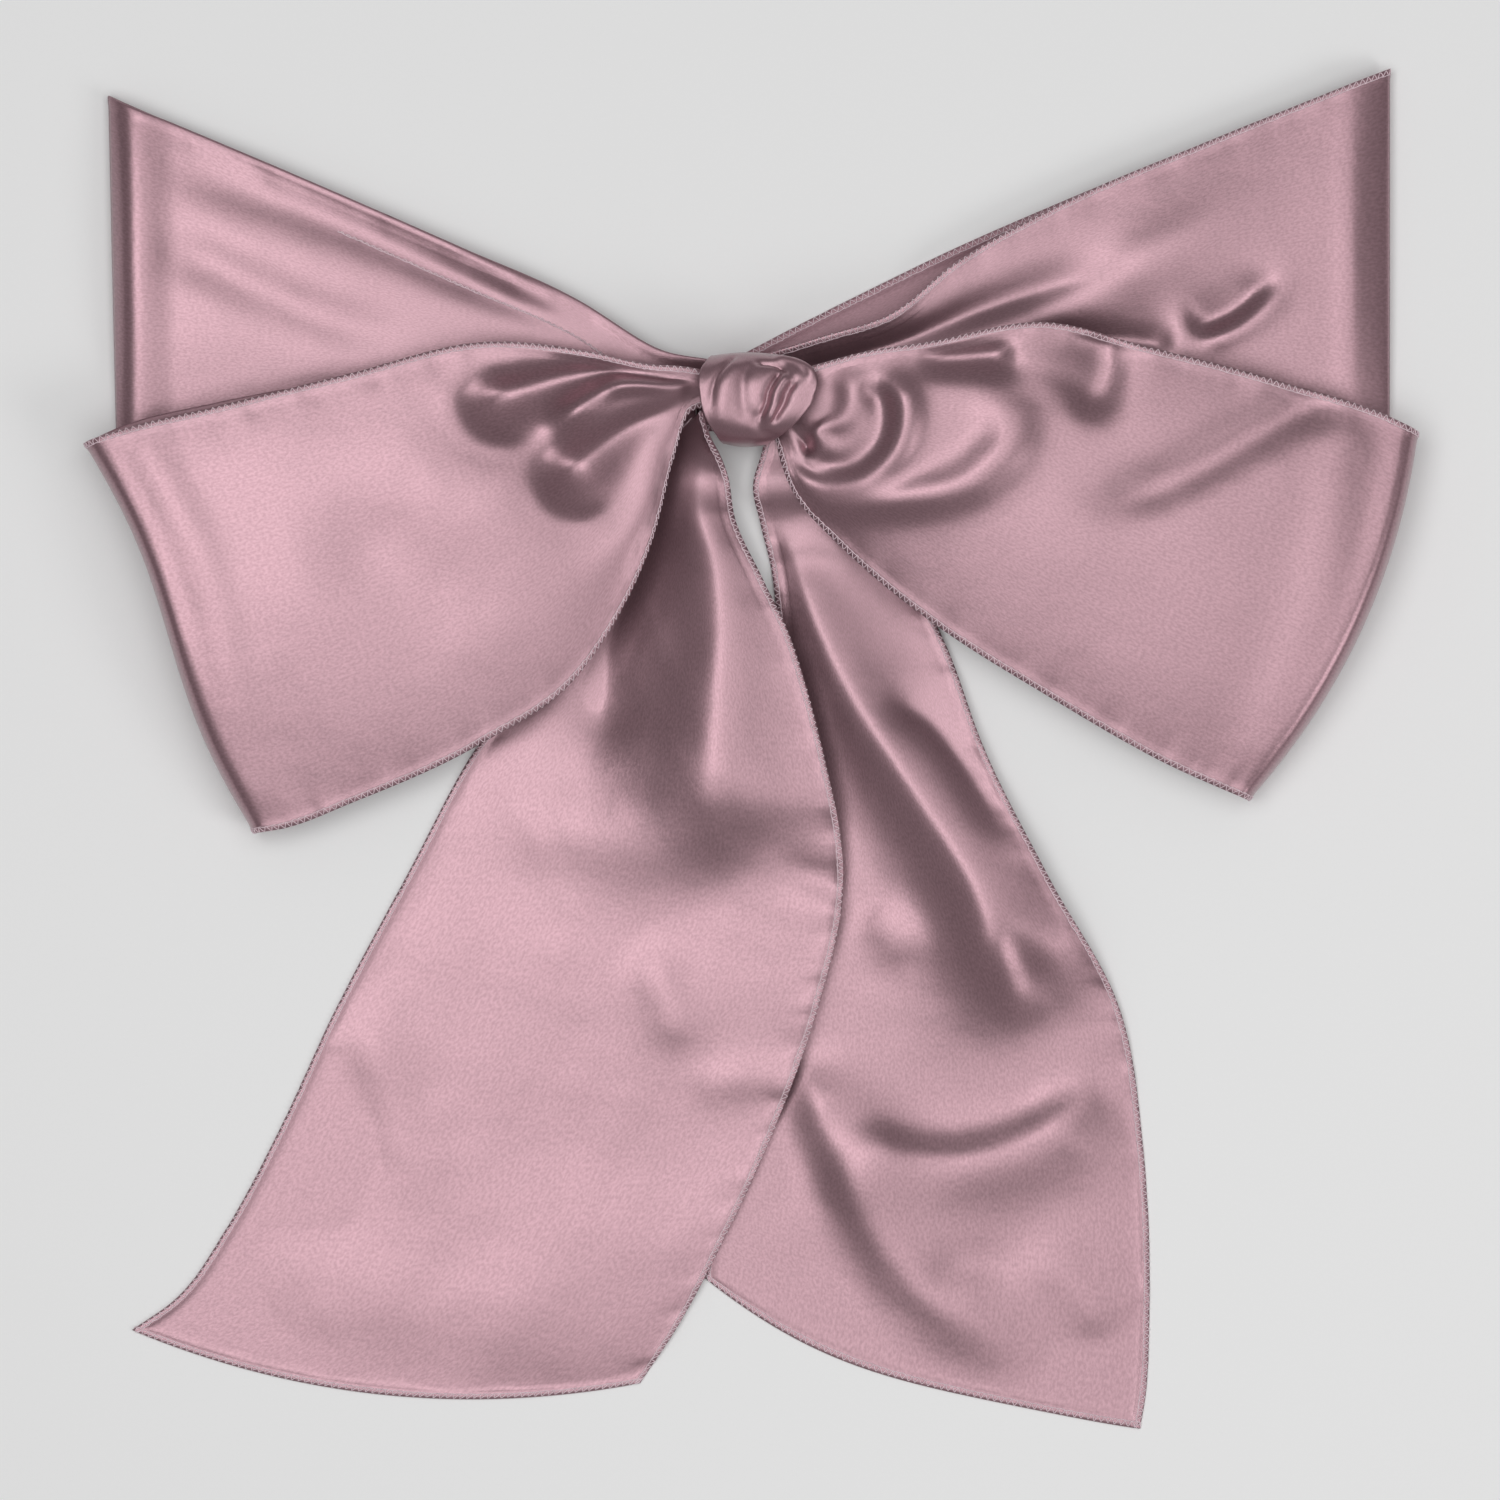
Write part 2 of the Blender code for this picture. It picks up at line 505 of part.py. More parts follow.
def main():
    for old in list(bpy.data.objects):
        bpy.data.objects.remove(old)
    sash = bpy.data.collections.new("chair_sash")
    bpy.context.scene.collection.children.link(sash)
    add_stretch("left_loop", LEFT_LOOP, ALONG_LOOP, sash, LEFT_LOOP_FOLDS, LEFT_LOOP_TURN)
    add_stretch("right_loop", RIGHT_LOOP, ALONG_LOOP, sash, RIGHT_LOOP_FOLDS, RIGHT_LOOP_TURN)
    add_stretch("left_wing", LEFT_WING, ALONG_WING, sash, LEFT_WING_FOLDS, LEFT_WING_TURN)
    add_stretch("right_wing", RIGHT_WING, ALONG_WING, sash, RIGHT_WING_FOLDS, RIGHT_WING_TURN)
    add_stretch("back_band", BACK_BAND, ALONG_BAND, sash)
    add_stretch("left_tail", LEFT_TAIL, ALONG_TAIL, sash, LEFT_TAIL_FOLDS)
    add_stretch("right_tail", RIGHT_TAIL, ALONG_TAIL, sash, RIGHT_TAIL_FOLDS)
    add_knot_wrap(sash)
    add_knot_core(sash)


main()
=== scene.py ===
"""The looks of a satin chair sash tied in a large bow and laid on a flat surface.

The sash is one long hemmed strip with slanted ends. Each stretch of it that shows is a thin
shell through the same sections as its solid, with finer creases, a turned hem and overlocked
edges. +X is to the right and +Y is towards the wings, seen from above. Lengths in the tables are
millimetres.
"""

from collections import namedtuple
from math import cos, pi, radians, sin

import bpy
import numpy as np
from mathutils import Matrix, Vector


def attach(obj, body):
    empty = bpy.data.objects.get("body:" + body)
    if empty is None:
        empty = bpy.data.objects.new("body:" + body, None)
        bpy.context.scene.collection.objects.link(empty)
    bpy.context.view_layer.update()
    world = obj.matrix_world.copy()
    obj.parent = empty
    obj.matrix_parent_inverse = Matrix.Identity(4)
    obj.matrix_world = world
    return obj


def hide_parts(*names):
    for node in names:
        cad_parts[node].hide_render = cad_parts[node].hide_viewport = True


bl_info = {
    "name": "Satin Chair Sash",
    "version": (1, 0, 0),
    "blender": (4, 5, 0),
    "location": "View3D > Sidebar > Sash",
    "description": "Makes a satin chair sash tied in a bow, its stitching and its stage",
    "category": "Object",
}

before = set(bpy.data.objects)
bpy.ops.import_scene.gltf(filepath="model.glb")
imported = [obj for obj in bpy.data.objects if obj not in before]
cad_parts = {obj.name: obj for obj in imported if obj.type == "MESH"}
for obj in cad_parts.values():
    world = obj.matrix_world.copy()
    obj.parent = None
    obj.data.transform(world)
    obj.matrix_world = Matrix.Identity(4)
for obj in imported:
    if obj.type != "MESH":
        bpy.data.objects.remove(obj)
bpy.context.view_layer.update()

MM = 0.001
UV_NAME = "cloth"
RIGHT_SIDE = "right_side"

# How finely the cloth is divided, in millimetres along the strip and in columns across it
ROW_STEP = 1.9
INNER_COLUMNS = 84
CURVE_STEPS = 30
FOLD_BLEND = 1.2
TINY = 1e-6
BLUR_PASSES = 3
WRAP_AROUND, WRAP_ACROSS = 200, 64
CORE_AROUND, CORE_RINGS = 96, 14

# The hem's cross section: how far each column lies from the edge, and its share of full thickness
HEM_COLUMNS = (0.0, 0.35, 0.9, 1.6, 2.2, 2.8, 3.5, 4.8)
HEM_SHARE = (0.35, 0.8, 1.0, 1.0, 0.9, 0.6, 0.2, 0.0)

# The knot, as in the solids
KNOT_Y, KNOT_Z = 122.8, 19.0
KNOT_RADIUS_Y, KNOT_RADIUS_Z = 16.4, 16.2
KNOT_BELLY = 1.2
KNOT_FADE = 0.4
KNOT_FLATNESS = 0.28
KNOT_WALL = 1.2
CORE_GAP = 0.4
CORE_LEFT, CORE_RIGHT = -13.4, 8.5
CORE_INSET = 0.6
LOWEST = -90

# Below this height the cloth that faces down lies on the floor, so its stitches face up
FLOOR_LAYER = 2.0

# How far in from the edge the overlock stitches are centred, how much further in their way in is
# read, and how many sides their thread has
OVERLOCK_INSET = 1.05
INWARD_STEP = 1.5
THREAD_SIDES = 5

# The sag of the cloth and the waves of its hems grow over these lengths from the knot. The waves
# reach this far in from the edge, and the two hems wave out of step.
SAG_FADE, WAVE_FADE = 60.0, 40.0
WAVE_REACH = 7.0
OTHER_HEM_PHASE = 2.6

# The two rims of the knot's band are this much thicker than its cloth
RIM_SHARE = 1.4

# The pleats of the knot's core at its open sides: how many there are all round, how far they lean
# towards the middle, and how deep they are
CORE_PLEATS = ((9, 5, 0.5), (23, -9, 0.3))
PLEAT_DEPTH, PLEAT_LEVEL = 0.9, 0.9
CORE_DIMPLE = 0.8

# The stage, in metres. The floor lies just below the cloth, and the camera sees the photo's width.
FLOOR_HALF, FLOOR_DROP = 4.0, 0.0001
SEEN_WIDTH, SEEN_CENTRE = 0.531, (-0.0004, -0.0004)
CAMERA_LENS, CAMERA_SENSOR = 200.0, 36.0
Light = namedtuple("Light", "name place size power")
LIGHTS = (
    Light("overhead_light", (0.0, 0.0, 2.0), 2.0, "overhead_power"),
    Light("left_light", (-0.62, 0.2, 1.9), 0.8, "left_power"),
    Light("right_light", (1.5, -0.85, 1.3), 0.8, "right_power"),
)

# Where a Mix node of colours has its two colours and its result
MIX_FIRST, MIX_SECOND, MIX_RESULT = 6, 7, 2

# The left wing's upper hem is turned under. Its line of small stitches shows between two places
# along X, this far in from the edge
TURNED_HEM_NODE, TURNED_HEM = "left_wing", "turned_hem"
TURNED_HEM_INSET = 13.0
TURNED_HEM_START, TURNED_HEM_END = -147.0, -50.0
TURNED_HEM_WIDTH = 0.36

# A section crosses the strip from hem A to hem B. Crown lifts its middle, bow pushes its middle
# sideways in plan, and sway pushes its two halves opposite ways.
Section = namedtuple("Section", "ax ay az bx by bz crown bow sway", defaults=(0, 0, 0))

# A fold is a ridge, or a trough where its height is negative, along a smooth curve through plan
# points. Its half width and height run from the first value at the start to the second at the
# end. A crisp of 4 gives a flat middle and steep sides. It rises over the first share of its
# length and falls over the last, and a skew of 0.5 makes its left side three times its right.
Fold = namedtuple(
    "Fold",
    "wide0 wide1 high0 high1 path crisp rise fall skew",
    defaults=(2, 0.0, 0.35, 0.0),
)

# Each angle of the band round the knot: where its left and right edges lie, and how proud it is.
# Angle 0 is the top edge in plan, and 90 is the crest that faces up.
Wrap = namedtuple("Wrap", "angle left right proud")

LEFT_LOOP = [
    Section(-14.0, 132.6, 26.8, -14.0, 120.8, 24.5, 0.3),
    Section(-25.0, 134.2, 28.4, -22.4, 117.3, 23.5, 1.2),
    Section(-35.0, 134.8, 29.0, -27.0, 103.9, 21.2, 3.0),
    Section(-58.0, 139.5, 29.0, -35.5, 71.5, 20.0, 5.0),
    Section(-92.7, 142.7, 28.0, -58.0, 29.6, 20.0, 6.0),
    Section(-143.0, 131.0, 27.0, -96.0, 1.3, 20.0, 6.5),
    Section(-190.0, 119.5, 26.0, -140.0, -18.8, 19.0, 6.0, 0, -1.0),
    Section(-222.5, 111.7, 24.6, -165.5, -28.2, 17.4, 5.4, 0, -2.0),
    Section(-231.5, 108.8, 24.0, -172.4, -29.3, 17.0, 5.6, 0, -2.7),
    Section(-234.4, 107.8, 15.5, -175.0, -29.7, 8.5, 2.0, 0, -3.0),
    Section(-222.5, 113.6, 11.4, -165.5, -27.2, 2.9, -1.0, 0, -2.0),
    Section(-190.0, 121.8, 11.0, -140.0, -16.5, 0.0, -1.0),
    Section(-143.0, 130.5, 11.8, -96.0, 3.0, 6.0, -1.0),
    Section(-92.7, 139.5, 13.0, -58.0, 31.0, 11.8),
    Section(-58.0, 136.0, 14.5, -38.0, 74.0, 13.0),
    Section(-35.0, 131.5, 16.0, -29.5, 105.5, 13.6),
    Section(-24.0, 131.0, 17.0, -23.0, 117.8, 15.2),
    Section(-14.0, 130.5, 17.5, -14.0, 121.3, 16.6),
]
LEFT_LOOP_TURN = 9

LEFT_LOOP_FOLDS = [
    Fold(2, 13, -1, -10, [(-28, 130), (-58, 131.5), (-86, 125)], 1.8, 0, 0, 0.5),
    Fold(2, 15, -1, -12, [(-24, 121), (-43, 113), (-61, 100)], 1.7, 0, 0, 0.3),
    Fold(1.8, 5.2, 1, 5.2, [(-26, 127), (-48, 127), (-60, 120), (-70, 110)], 2.3, 0, 0.25),
    Fold(3, 3, 1.3, 1.3, [(-99, 134), (-105, 123), (-99, 111), (-76, 104)], 2, 0.3, 0.3),
    Fold(3, 3, 1.3, 1.3, [(-77, 99), (-76, 91), (-69, 82), (-57, 80), (-47, 86)], 2, 0.3, 0.3),
    Fold(2.5, 4, 1, 3, [(-25, 126), (-36, 127.5), (-46, 128)], 2, 0, 0),
    Fold(3, 12, 0.5, 3, [(-26, 112), (-35, 86), (-60, 52)], 2, 0, 0.5),
    Fold(9, 12, 1.4, 1.4, [(-214, 108), (-192, 64), (-185, 34), (-176, -14)], 2, 0, 0, -0.3),
    Fold(18, 24, -2.5, -2.5, [(-160, 90), (-125, 65), (-85, 35)], 2, 0.4, 0.4),
]

LEFT_LOOP_BACK_FOLDS = [
    Fold(4, 12, 0.6, 1.8, [(-40, 122), (-90, 108), (-150, 92)], 2, 0.3, 0.4),
    Fold(4, 12, 0.6, -1.6, [(-44, 105), (-90, 70), (-140, 40)], 2, 0.3, 0.4),
    Fold(5, 14, -0.6, -1.5, [(-60, 128), (-120, 122), (-185, 100)], 2, 0.3, 0.4),
]

RIGHT_LOOP = [
    Section(8.9, 130.4, 26.4, 8.9, 110.0, 18.0, 1.0),
    Section(19.0, 133.6, 26.8, 10.0, 102.8, 18.5, 2.5, -5.0),
    Section(38.0, 138.7, 29.5, 15.5, 89.3, 17.5, 3.0),
    Section(62.0, 142.5, 29.5, 33.0, 70.0, 18.0, 6.0),
    Section(100.0, 149.6, 29.0, 64.0, 44.3, 19.5, 6.0),
    Section(140.0, 140.7, 28.0, 103.0, 19.4, 19.5, 6.5, -2.0),
    Section(186.0, 128.8, 26.2, 144.0, -4.2, 18.5, 6.0, -6.0),
    Section(222.5, 117.4, 24.0, 167.0, -14.6, 16.6, 5.4, -10.0),
    Section(231.5, 113.2, 23.4, 172.9, -17.1, 16.2, 5.6, -10.7),
    Section(234.4, 111.7, 15.0, 175.2, -18.1, 8.0, 2.0, -11.0),
    Section(222.5, 116.6, 11.0, 167.0, -13.6, 2.9, -1.0, -10.0),
    Section(186.0, 127.5, 11.0, 144.0, -3.0, 0.0, -1.0, -6.0),
    Section(140.0, 138.5, 11.8, 103.0, 20.5, 6.5, -1.0, -2.0),
    Section(100.0, 146.5, 12.8, 64.0, 45.5, 11.8),
    Section(62.0, 139.5, 14.5, 37.0, 71.5, 12.5),
    Section(38.0, 135.5, 16.0, 21.0, 92.0, 13.0),
    Section(22.0, 131.5, 17.5, 13.5, 106.5, 14.0, 0, -3.0),
    Section(8.9, 128.5, 17.5, 8.9, 112.5, 14.5),
]
RIGHT_LOOP_TURN = 9

RIGHT_LOOP_FOLDS = [
    Fold(3, 11, 2, 5.5, [(11, 99), (22, 88), (49, 87.5), (80, 96), (91, 110), (89, 123), (102, 135)]),
    Fold(2.4, 5, 2, 5.5, [(12, 100), (24, 93), (40, 95), (51, 106), (53, 121), (45, 134)],
         2, 0.1, 0.2, -0.25),
    Fold(2.2, 4, 1, 4, [(22, 112), (33, 116), (36, 126), (33, 135)]),
    Fold(2, 4, -1, -4, [(20, 101), (36, 101), (44, 108), (46, 120), (41, 131)], 2, 0.1, 0.2),
    Fold(2.2, 2.2, -4, -4, [(19, 107.5), (20, 105.5)], 2, 0, 0),
    Fold(2.4, 2.4, 2, 2, [(23.5, 111), (25, 106.5), (21.5, 102)], 2, 0.2, 0.2),
    Fold(4, 6, -3, -5, [(56, 136), (75, 137.5), (92, 139)], 2.2, 0.3, 0.15, -0.4),
    Fold(9, 11, -4, -5.5, [(121, 147), (124, 134), (121, 124), (112, 114)], 1.6, 0.15, 0.4, -0.3),
    Fold(9, 8, -4, -3.5, [(110, 84), (136, 90), (162, 102), (188, 117), (212, 130)], 1.8, 0.3, 0.2),
    Fold(9, 12, 1.4, 1.4, [(206, 108), (200, 60), (180, 0)], 2, 0, 0, 0.3),
]

RIGHT_LOOP_BACK_FOLDS = [
    Fold(4, 12, 0.6, 1.8, [(44, 126), (100, 122), (160, 112)], 2, 0.3, 0.4),
    Fold(4, 12, 0.6, -1.6, [(50, 105), (100, 80), (150, 50)], 2, 0.3, 0.4),
    Fold(5, 14, -0.6, -1.5, [(66, 92), (110, 55), (150, 20)], 2, 0.3, 0.4),
]

LEFT_WING = [
    Section(-14.7, 137.4, 9.0, -15.0, 124.0, 4.0),
    Section(-33.0, 141.3, 10.5, -40.0, 124.0, 6.5, 1.0),
    Section(-60.0, 157.8, 10.5, -62.0, 121.5, 6.0, 2.0),
    Section(-101.6, 176.6, 10.0, -107.0, 114.0, 5.5, 3.0),
    Section(-155.0, 200.0, 9.5, -160.0, 106.0, 5.0, 4.0),
    Section(-203.0, 220.4, 9.0, -203.0, 99.5, 4.6, 4.0),
    Section(-223.2, 228.7, 8.4, -221.2, 96.4, 4.6, 3.4),
    Section(-227.0, 230.9, 4.4, -224.0, 96.8, 2.9, 0.8),
    Section(-219.5, 227.6, 0.0, -217.5, 97.3, 0.0),
    Section(-203.0, 220.4, 0.0, -203.0, 98.5, 0.0),
    Section(-155.0, 200.0, 0.0, -160.0, 104.0, 0.0),
    Section(-101.6, 176.6, 0.0, -107.0, 111.0, 0.0),
    Section(-60.0, 157.8, 0.0, -62.0, 117.5, 0.0),
    Section(-33.0, 141.3, 0.0, -40.0, 115.0, 0.0),
    Section(-19.6, 137.0, 0.0, -19.6, 112.5, 0.0),
]
LEFT_WING_TURN = 7

LEFT_WING_FOLDS = [
    Fold(9, 4, -1.0, -2.0, [(-215, 210), (-184, 198), (-149, 185.5), (-95, 162), (-48, 142)], 2, 0.2),
    Fold(7, 4, 1.2, 2.0, [(-190, 215), (-120, 184), (-60, 153)], 2, 0.2, 0.2),
    Fold(9, 8, -1.8, -1.5, [(-212, 182), (-174, 162.5), (-149, 152), (-112, 145)], 2, 0.2),
]

RIGHT_WING = [
    Section(2.0, 138.6, 6.0, 16.0, 124.5, 2.9, -0.9),
    Section(25.0, 145.6, 9.5, 34.0, 125.0, 5.0),
    Section(50.0, 154.0, 10.5, 62.0, 124.0, 6.0, 1.0),
    Section(72.0, 171.5, 10.5, 90.0, 122.0, 5.6, 2.0),
    Section(110.0, 192.6, 10.0, 125.0, 118.0, 5.4, 3.0),
    Section(160.0, 213.9, 9.5, 168.0, 108.0, 5.0, 4.0),
    Section(203.0, 231.3, 9.0, 203.0, 96.5, 4.6, 4.0),
    Section(213.0, 235.3, 9.2, 213.0, 92.5, 5.4, 3.6),
    Section(225.5, 240.3, 4.4, 225.5, 88.0, 2.9, 0.8),
    Section(218.5, 237.5, 0.0, 218.5, 90.0, 0.0),
    Section(203.0, 231.3, 0.0, 203.0, 95.5, 0.0),
    Section(160.0, 214.2, 0.0, 168.0, 105.0, 0.0),
    Section(110.0, 193.6, 0.0, 125.0, 115.0, 0.0),
    Section(72.0, 177.0, 0.0, 90.0, 118.0, 0.0),
    Section(37.0, 160.0, 0.0, 62.0, 118.0, 0.0),
    Section(15.0, 149.0, 0.0, 36.0, 115.0, 0.0),
    Section(-3.0, 139.6, 0.0, 20.0, 112.5, 0.0),
]
RIGHT_WING_TURN = 8

RIGHT_WING_FOLDS = [
    Fold(4, 11, -2.5, -6, [(24, 136), (53, 144), (74, 152), (106, 163), (142, 172)], 1.7),
    Fold(5, 14, 1.5, 2.5, [(60, 141), (110, 159), (190, 200)], 2, 0.2),
    Fold(8, 5, -5, -3.5, [(154, 148), (169, 154), (187, 170)], 1.6, 0.15, 0.4, 0.5),
    Fold(3, 5, 2, 1.6, [(158, 143), (173, 149), (192, 167)], 2, 0.2, 0.4),
    Fold(8, 9, -4.5, -4, [(92, 139), (125, 145), (151, 142)], 1.6, 0.3, 0.15, 0.5),
]

BACK_BAND = [
    Section(-19.3, 137.0, 0.0, -19.3, 112.5, 0.0),
    Section(-12.0, 137.6, 0.0, -4.0, 112.3, 0.0),
    Section(-3.4, 139.2, 0.0, 19.6, 112.2, 0.0),
]

LEFT_TAIL = [
    Section(-21.0, 115.6, 16.5, -17.3, 118.4, 31.2),
    Section(-27.0, 110.6, 11.0, -14.4, 109.6, 27.0),
    Section(-31.0, 104.8, 7.5, -11.0, 103.5, 18.5, 2.0),
    Section(-36.0, 98.0, 4.5, -8.4, 97.0, 13.5, 3.0),
    Section(-45.0, 82.0, 2.0, -5.7, 81.1, 11.0, 4.0),
    Section(-54.0, 57.0, 0.0, 3.8, 60.5, 10.5, 2.0),
    Section(-74.5, 29.5, 0.0, 13.6, 40.0, 12.0, 0.0),
    Section(-97.7, -0.4, 0.0, 25.4, -1.0, 13.0, -1.0),
    Section(-120.7, -42.8, 0.0, 32.6, -44.0, 11.5, -1.5),
    Section(-147.0, -92.2, 0.0, 24.6, -88.0, 9.0, -1.5),
    Section(-166.5, -134.0, 0.0, 10.0, -130.0, 5.5, -1.5),
    Section(-185.5, -169.5, 0.0, -7.0, -168.0, 4.5, -1.2, 4),
    Section(-204.5, -195.5, 0.0, -27.0, -206.0, 2.0, -0.5, 10),
    Section(-219.0, -205.7, 0.0, -39.3, -224.4, 0.0, 0, 13.5),
]

LEFT_TAIL_FOLDS = [
    Fold(5, 37, 3, 14, [(-17, 106), (-18, 84), (-13, 66), (-11, 42), (-13, 10), (-14, -24), (-6, -53)],
         1.6, 0.2, 0.3, 0.1),
    Fold(4, 17, -1, -5, [(-27, 92), (-38, 66), (-49, 40), (-53, 14), (-48, -8)], 1.7, 0.2, 0.25, 0.2),
    Fold(14, 14, 1, 2, [(-104, -16), (-70, -26), (-48, -32), (-24, -34)], 2, 0.5, 0.4),
    Fold(9, 13, 1.3, 1.3, [(-142, -88), (-129, -118), (-114, -166)], 1.7, 0.3, 0.4, 0.3),
    Fold(6, 9, 1.5, 1.8, [(17, -118), (-2, -116), (-26, -124)], 1.7, 0, 0.5),
    Fold(9, 9, 1.6, 1.6, [(-40, -64), (-28, -92), (-22, -110)], 1.7, 0.4, 0.3, -0.2),
    Fold(5, 6, -1.6, -1.6, [(33, -49), (20, -44), (6, -40)], 2, 0, 0.5),
    Fold(20, 24, 1.2, 1.2, [(-178, -172), (-120, -196), (-62, -186), (-30, -152)], 1.7, 0.3, 0.4),
]

RIGHT_TAIL = [
    Section(5.2, 110.5, 6.8, 14.5, 111.5, 8.6),
    Section(3.4, 103.5, 6.2, 18.5, 104.5, 8.2),
    Section(0.8, 94.5, 6.6, 27.0, 96.0, 8.4, 1.0),
    Section(3.2, 80.0, 2.7, 43.5, 83.0, 4.8, 1.0),
    Section(7.0, 64.0, 0.5, 57.0, 60.5, 2.5, 0.5),
    Section(9.5, 40.0, 0.0, 68.3, 38.0, 3.0),
    Section(6.0, 0.0, 0.0, 83.0, -1.5, 5.0),
    Section(0.0, -45.0, 0.0, 105.6, -46.4, 5.0),
    Section(-6.0, -90.0, 0.0, 130.0, -91.0, 3.0),
    Section(-11.0, -132.0, 0.0, 138.6, -140.0, 0.0, 0, 2),
    Section(-14.3, -165.0, 0.0, 141.0, -195.0, 0.0, 0, 5),
    Section(-15.8, -181.0, 0.0, 139.4, -230.0, 0.0, 0, 9),
    Section(-16.3, -187.3, 0.0, 137.6, -240.6, 0.0, 0, 11, 2),
]

RIGHT_TAIL_FOLDS = [
    Fold(8, 31, 3, 17, [(13, 82), (18, 60), (31, 28), (60, -18), (80, -50), (90, -78), (104, -104)],
         1.5, 0.15, 0.22, 0.25),
    Fold(15, 14, 4.5, 6.5, [(28, -133), (58, -146), (92, -142), (112, -131), (125, -114)],
         1.8, 0.2, 0.25, -0.4),
    Fold(5, 7, -1.5, -2, [(86, -58), (95, -74), (101, -90)], 1.7, 0.4, 0.3),
    Fold(6, 8, -3, -3, [(45, 21), (63, 9), (79, -12), (93, -36)], 1.6, 0.2, 0.3, 0.2),
    Fold(10, 10, 2, 2, [(40, -54), (50, -66), (58, -78)], 2, 0.4, 0.4),
    Fold(12, 20, 5, 4, [(18, -106), (26, -130), (38, -158), (53, -182), (82, -206), (112, -214)],
         1.7, 0.15, 0.3, 0.3),
    Fold(4, 5, 1.2, 1.2, [(8, 70), (20, 73), (38, 70)], 2, 0.2, 0.3),
    Fold(12, 14, 2, 2, [(92, -172), (112, -188), (130, -212)], 1.7, 0.4, 0.3, 0.3),
    Fold(6, 7, -1.5, -1.5, [(56, -188), (78, -182), (100, -186)], 1.7, 0.4, 0.4),
]

# Creases pressed into the knot, as folds seen from above
WRAP_FOLDS = [
    Fold(1.2, 1.4, -1.6, -2.2, [(2.6, 116), (6.4, 124.2), (11, 131)], 1.6, 0.25, 0.2),
    Fold(1.8, 2.0, 1.2, 1.4, [(4.8, 115.5), (8.8, 123.4), (13.4, 129.6)], 2, 0.25, 0.2),
    Fold(1.1, 1.3, -1.6, -2.0, [(6.8, 115), (11.2, 122), (15.8, 127.6)], 1.6, 0.25, 0.2),
    Fold(1.6, 1.6, 1.5, 1.5, [(7, 136.2), (16, 134.6), (21, 130), (20.6, 125)], 2, 0.2, 0.3),
    Fold(1.2, 1.2, -1.6, -1.6, [(2, 134), (9.5, 132.6), (13.5, 129.5)], 1.6, 0.2, 0.3),
    Fold(1.0, 1.2, -1.2, -0.9, [(-6, 137), (-11.5, 129.4), (-14.5, 121)], 1.7, 0.1, 0.2),
    Fold(2.6, 3.0, 0.7, 0.6, [(-3, 136), (-8.2, 128), (-10.5, 118), (-10, 110)], 2, 0.2, 0.3),
    Fold(1.6, 2.8, -0.8, -0.8, [(0, 134), (-3.0, 126), (-1, 114)], 1.8, 0.2, 0.3),
    Fold(2.6, 2.6, -0.9, -0.9, [(1, 122), (4, 113), (9, 108)], 2, 0.3, 0.3),
]

WRAP = [
    Wrap(-90, -14.0, 12.0, 0.0),
    Wrap(-40, -14.0, 11.5, 0.0),
    Wrap(0, -13.8, 11.5, 0.0),
    Wrap(35, -15.5, 15.0, 0.1),
    Wrap(60, -17.8, 21.5, 0.5),
    Wrap(80, -18.4, 23.2, 0.6),
    Wrap(105, -16.4, 18.0, 0.4),
    Wrap(135, -12.6, 11.5, 0.1),
    Wrap(165, -10.4, 7.0, 0.0),
    Wrap(185, -9.4, 6.0, 0.0),
    Wrap(225, -12.0, 9.0, 0.0),
    Wrap(270, -14.0, 12.0, 0.0),
]

# A stretch of the strip. Turn is the section at its outer fold, if it has one, and tail says that
# its last row is a hemmed end. Waves gives the hem's unevenness and sag that of the whole cloth.
Stretch = namedtuple("Stretch", "node sections folds turn back_folds tail waves sag phase")

LOOPS = [
    Stretch("left_loop", LEFT_LOOP, LEFT_LOOP_FOLDS, LEFT_LOOP_TURN, LEFT_LOOP_BACK_FOLDS,
            False, 0.35, 0.35, 0.4),
    Stretch("right_loop", RIGHT_LOOP, RIGHT_LOOP_FOLDS, RIGHT_LOOP_TURN, RIGHT_LOOP_BACK_FOLDS,
            False, 0.35, 0.35, 2.1),
]
WINGS = [
    Stretch("left_wing", LEFT_WING, LEFT_WING_FOLDS, LEFT_WING_TURN, [], False, 0.3, 0.3, 3.3),
    Stretch("right_wing", RIGHT_WING, RIGHT_WING_FOLDS, RIGHT_WING_TURN, [], False, 0.3, 0.3, 4.6),
    Stretch("back_band", BACK_BAND, [], None, [], False, 0.0, 0.0, 0.0),
]
TAILS = [
    Stretch("left_tail", LEFT_TAIL, LEFT_TAIL_FOLDS, None, [], True, 0.4, 0.5, 5.2),
    Stretch("right_tail", RIGHT_TAIL, RIGHT_TAIL_FOLDS, None, [], True, 0.4, 0.4, 0.9),
]


class SashClothSettings(bpy.types.PropertyGroup):
    """Sizes and colours of the satin."""

    width: bpy.props.FloatProperty(
        name="Width", description="Width of the strip between its hems", default=0.17, unit="LENGTH"
    )
    thickness: bpy.props.FloatProperty(
        name="Thickness", description="Thickness of the satin", default=0.0005, unit="LENGTH"
    )
    hem_thickness: bpy.props.FloatProperty(
        name="Hem thickness", description="Thickness of the turned hem", default=0.001, unit="LENGTH"
    )
    colour: bpy.props.FloatVectorProperty(
        name="Colour", description="Colour of the satin", default=(0.352, 0.192, 0.226),
        size=3, subtype="COLOR", min=0, max=1,
    )
    roughness: bpy.props.FloatProperty(
        name="Roughness", description="How soft the satin's sheen is", default=0.35, min=0, max=1
    )


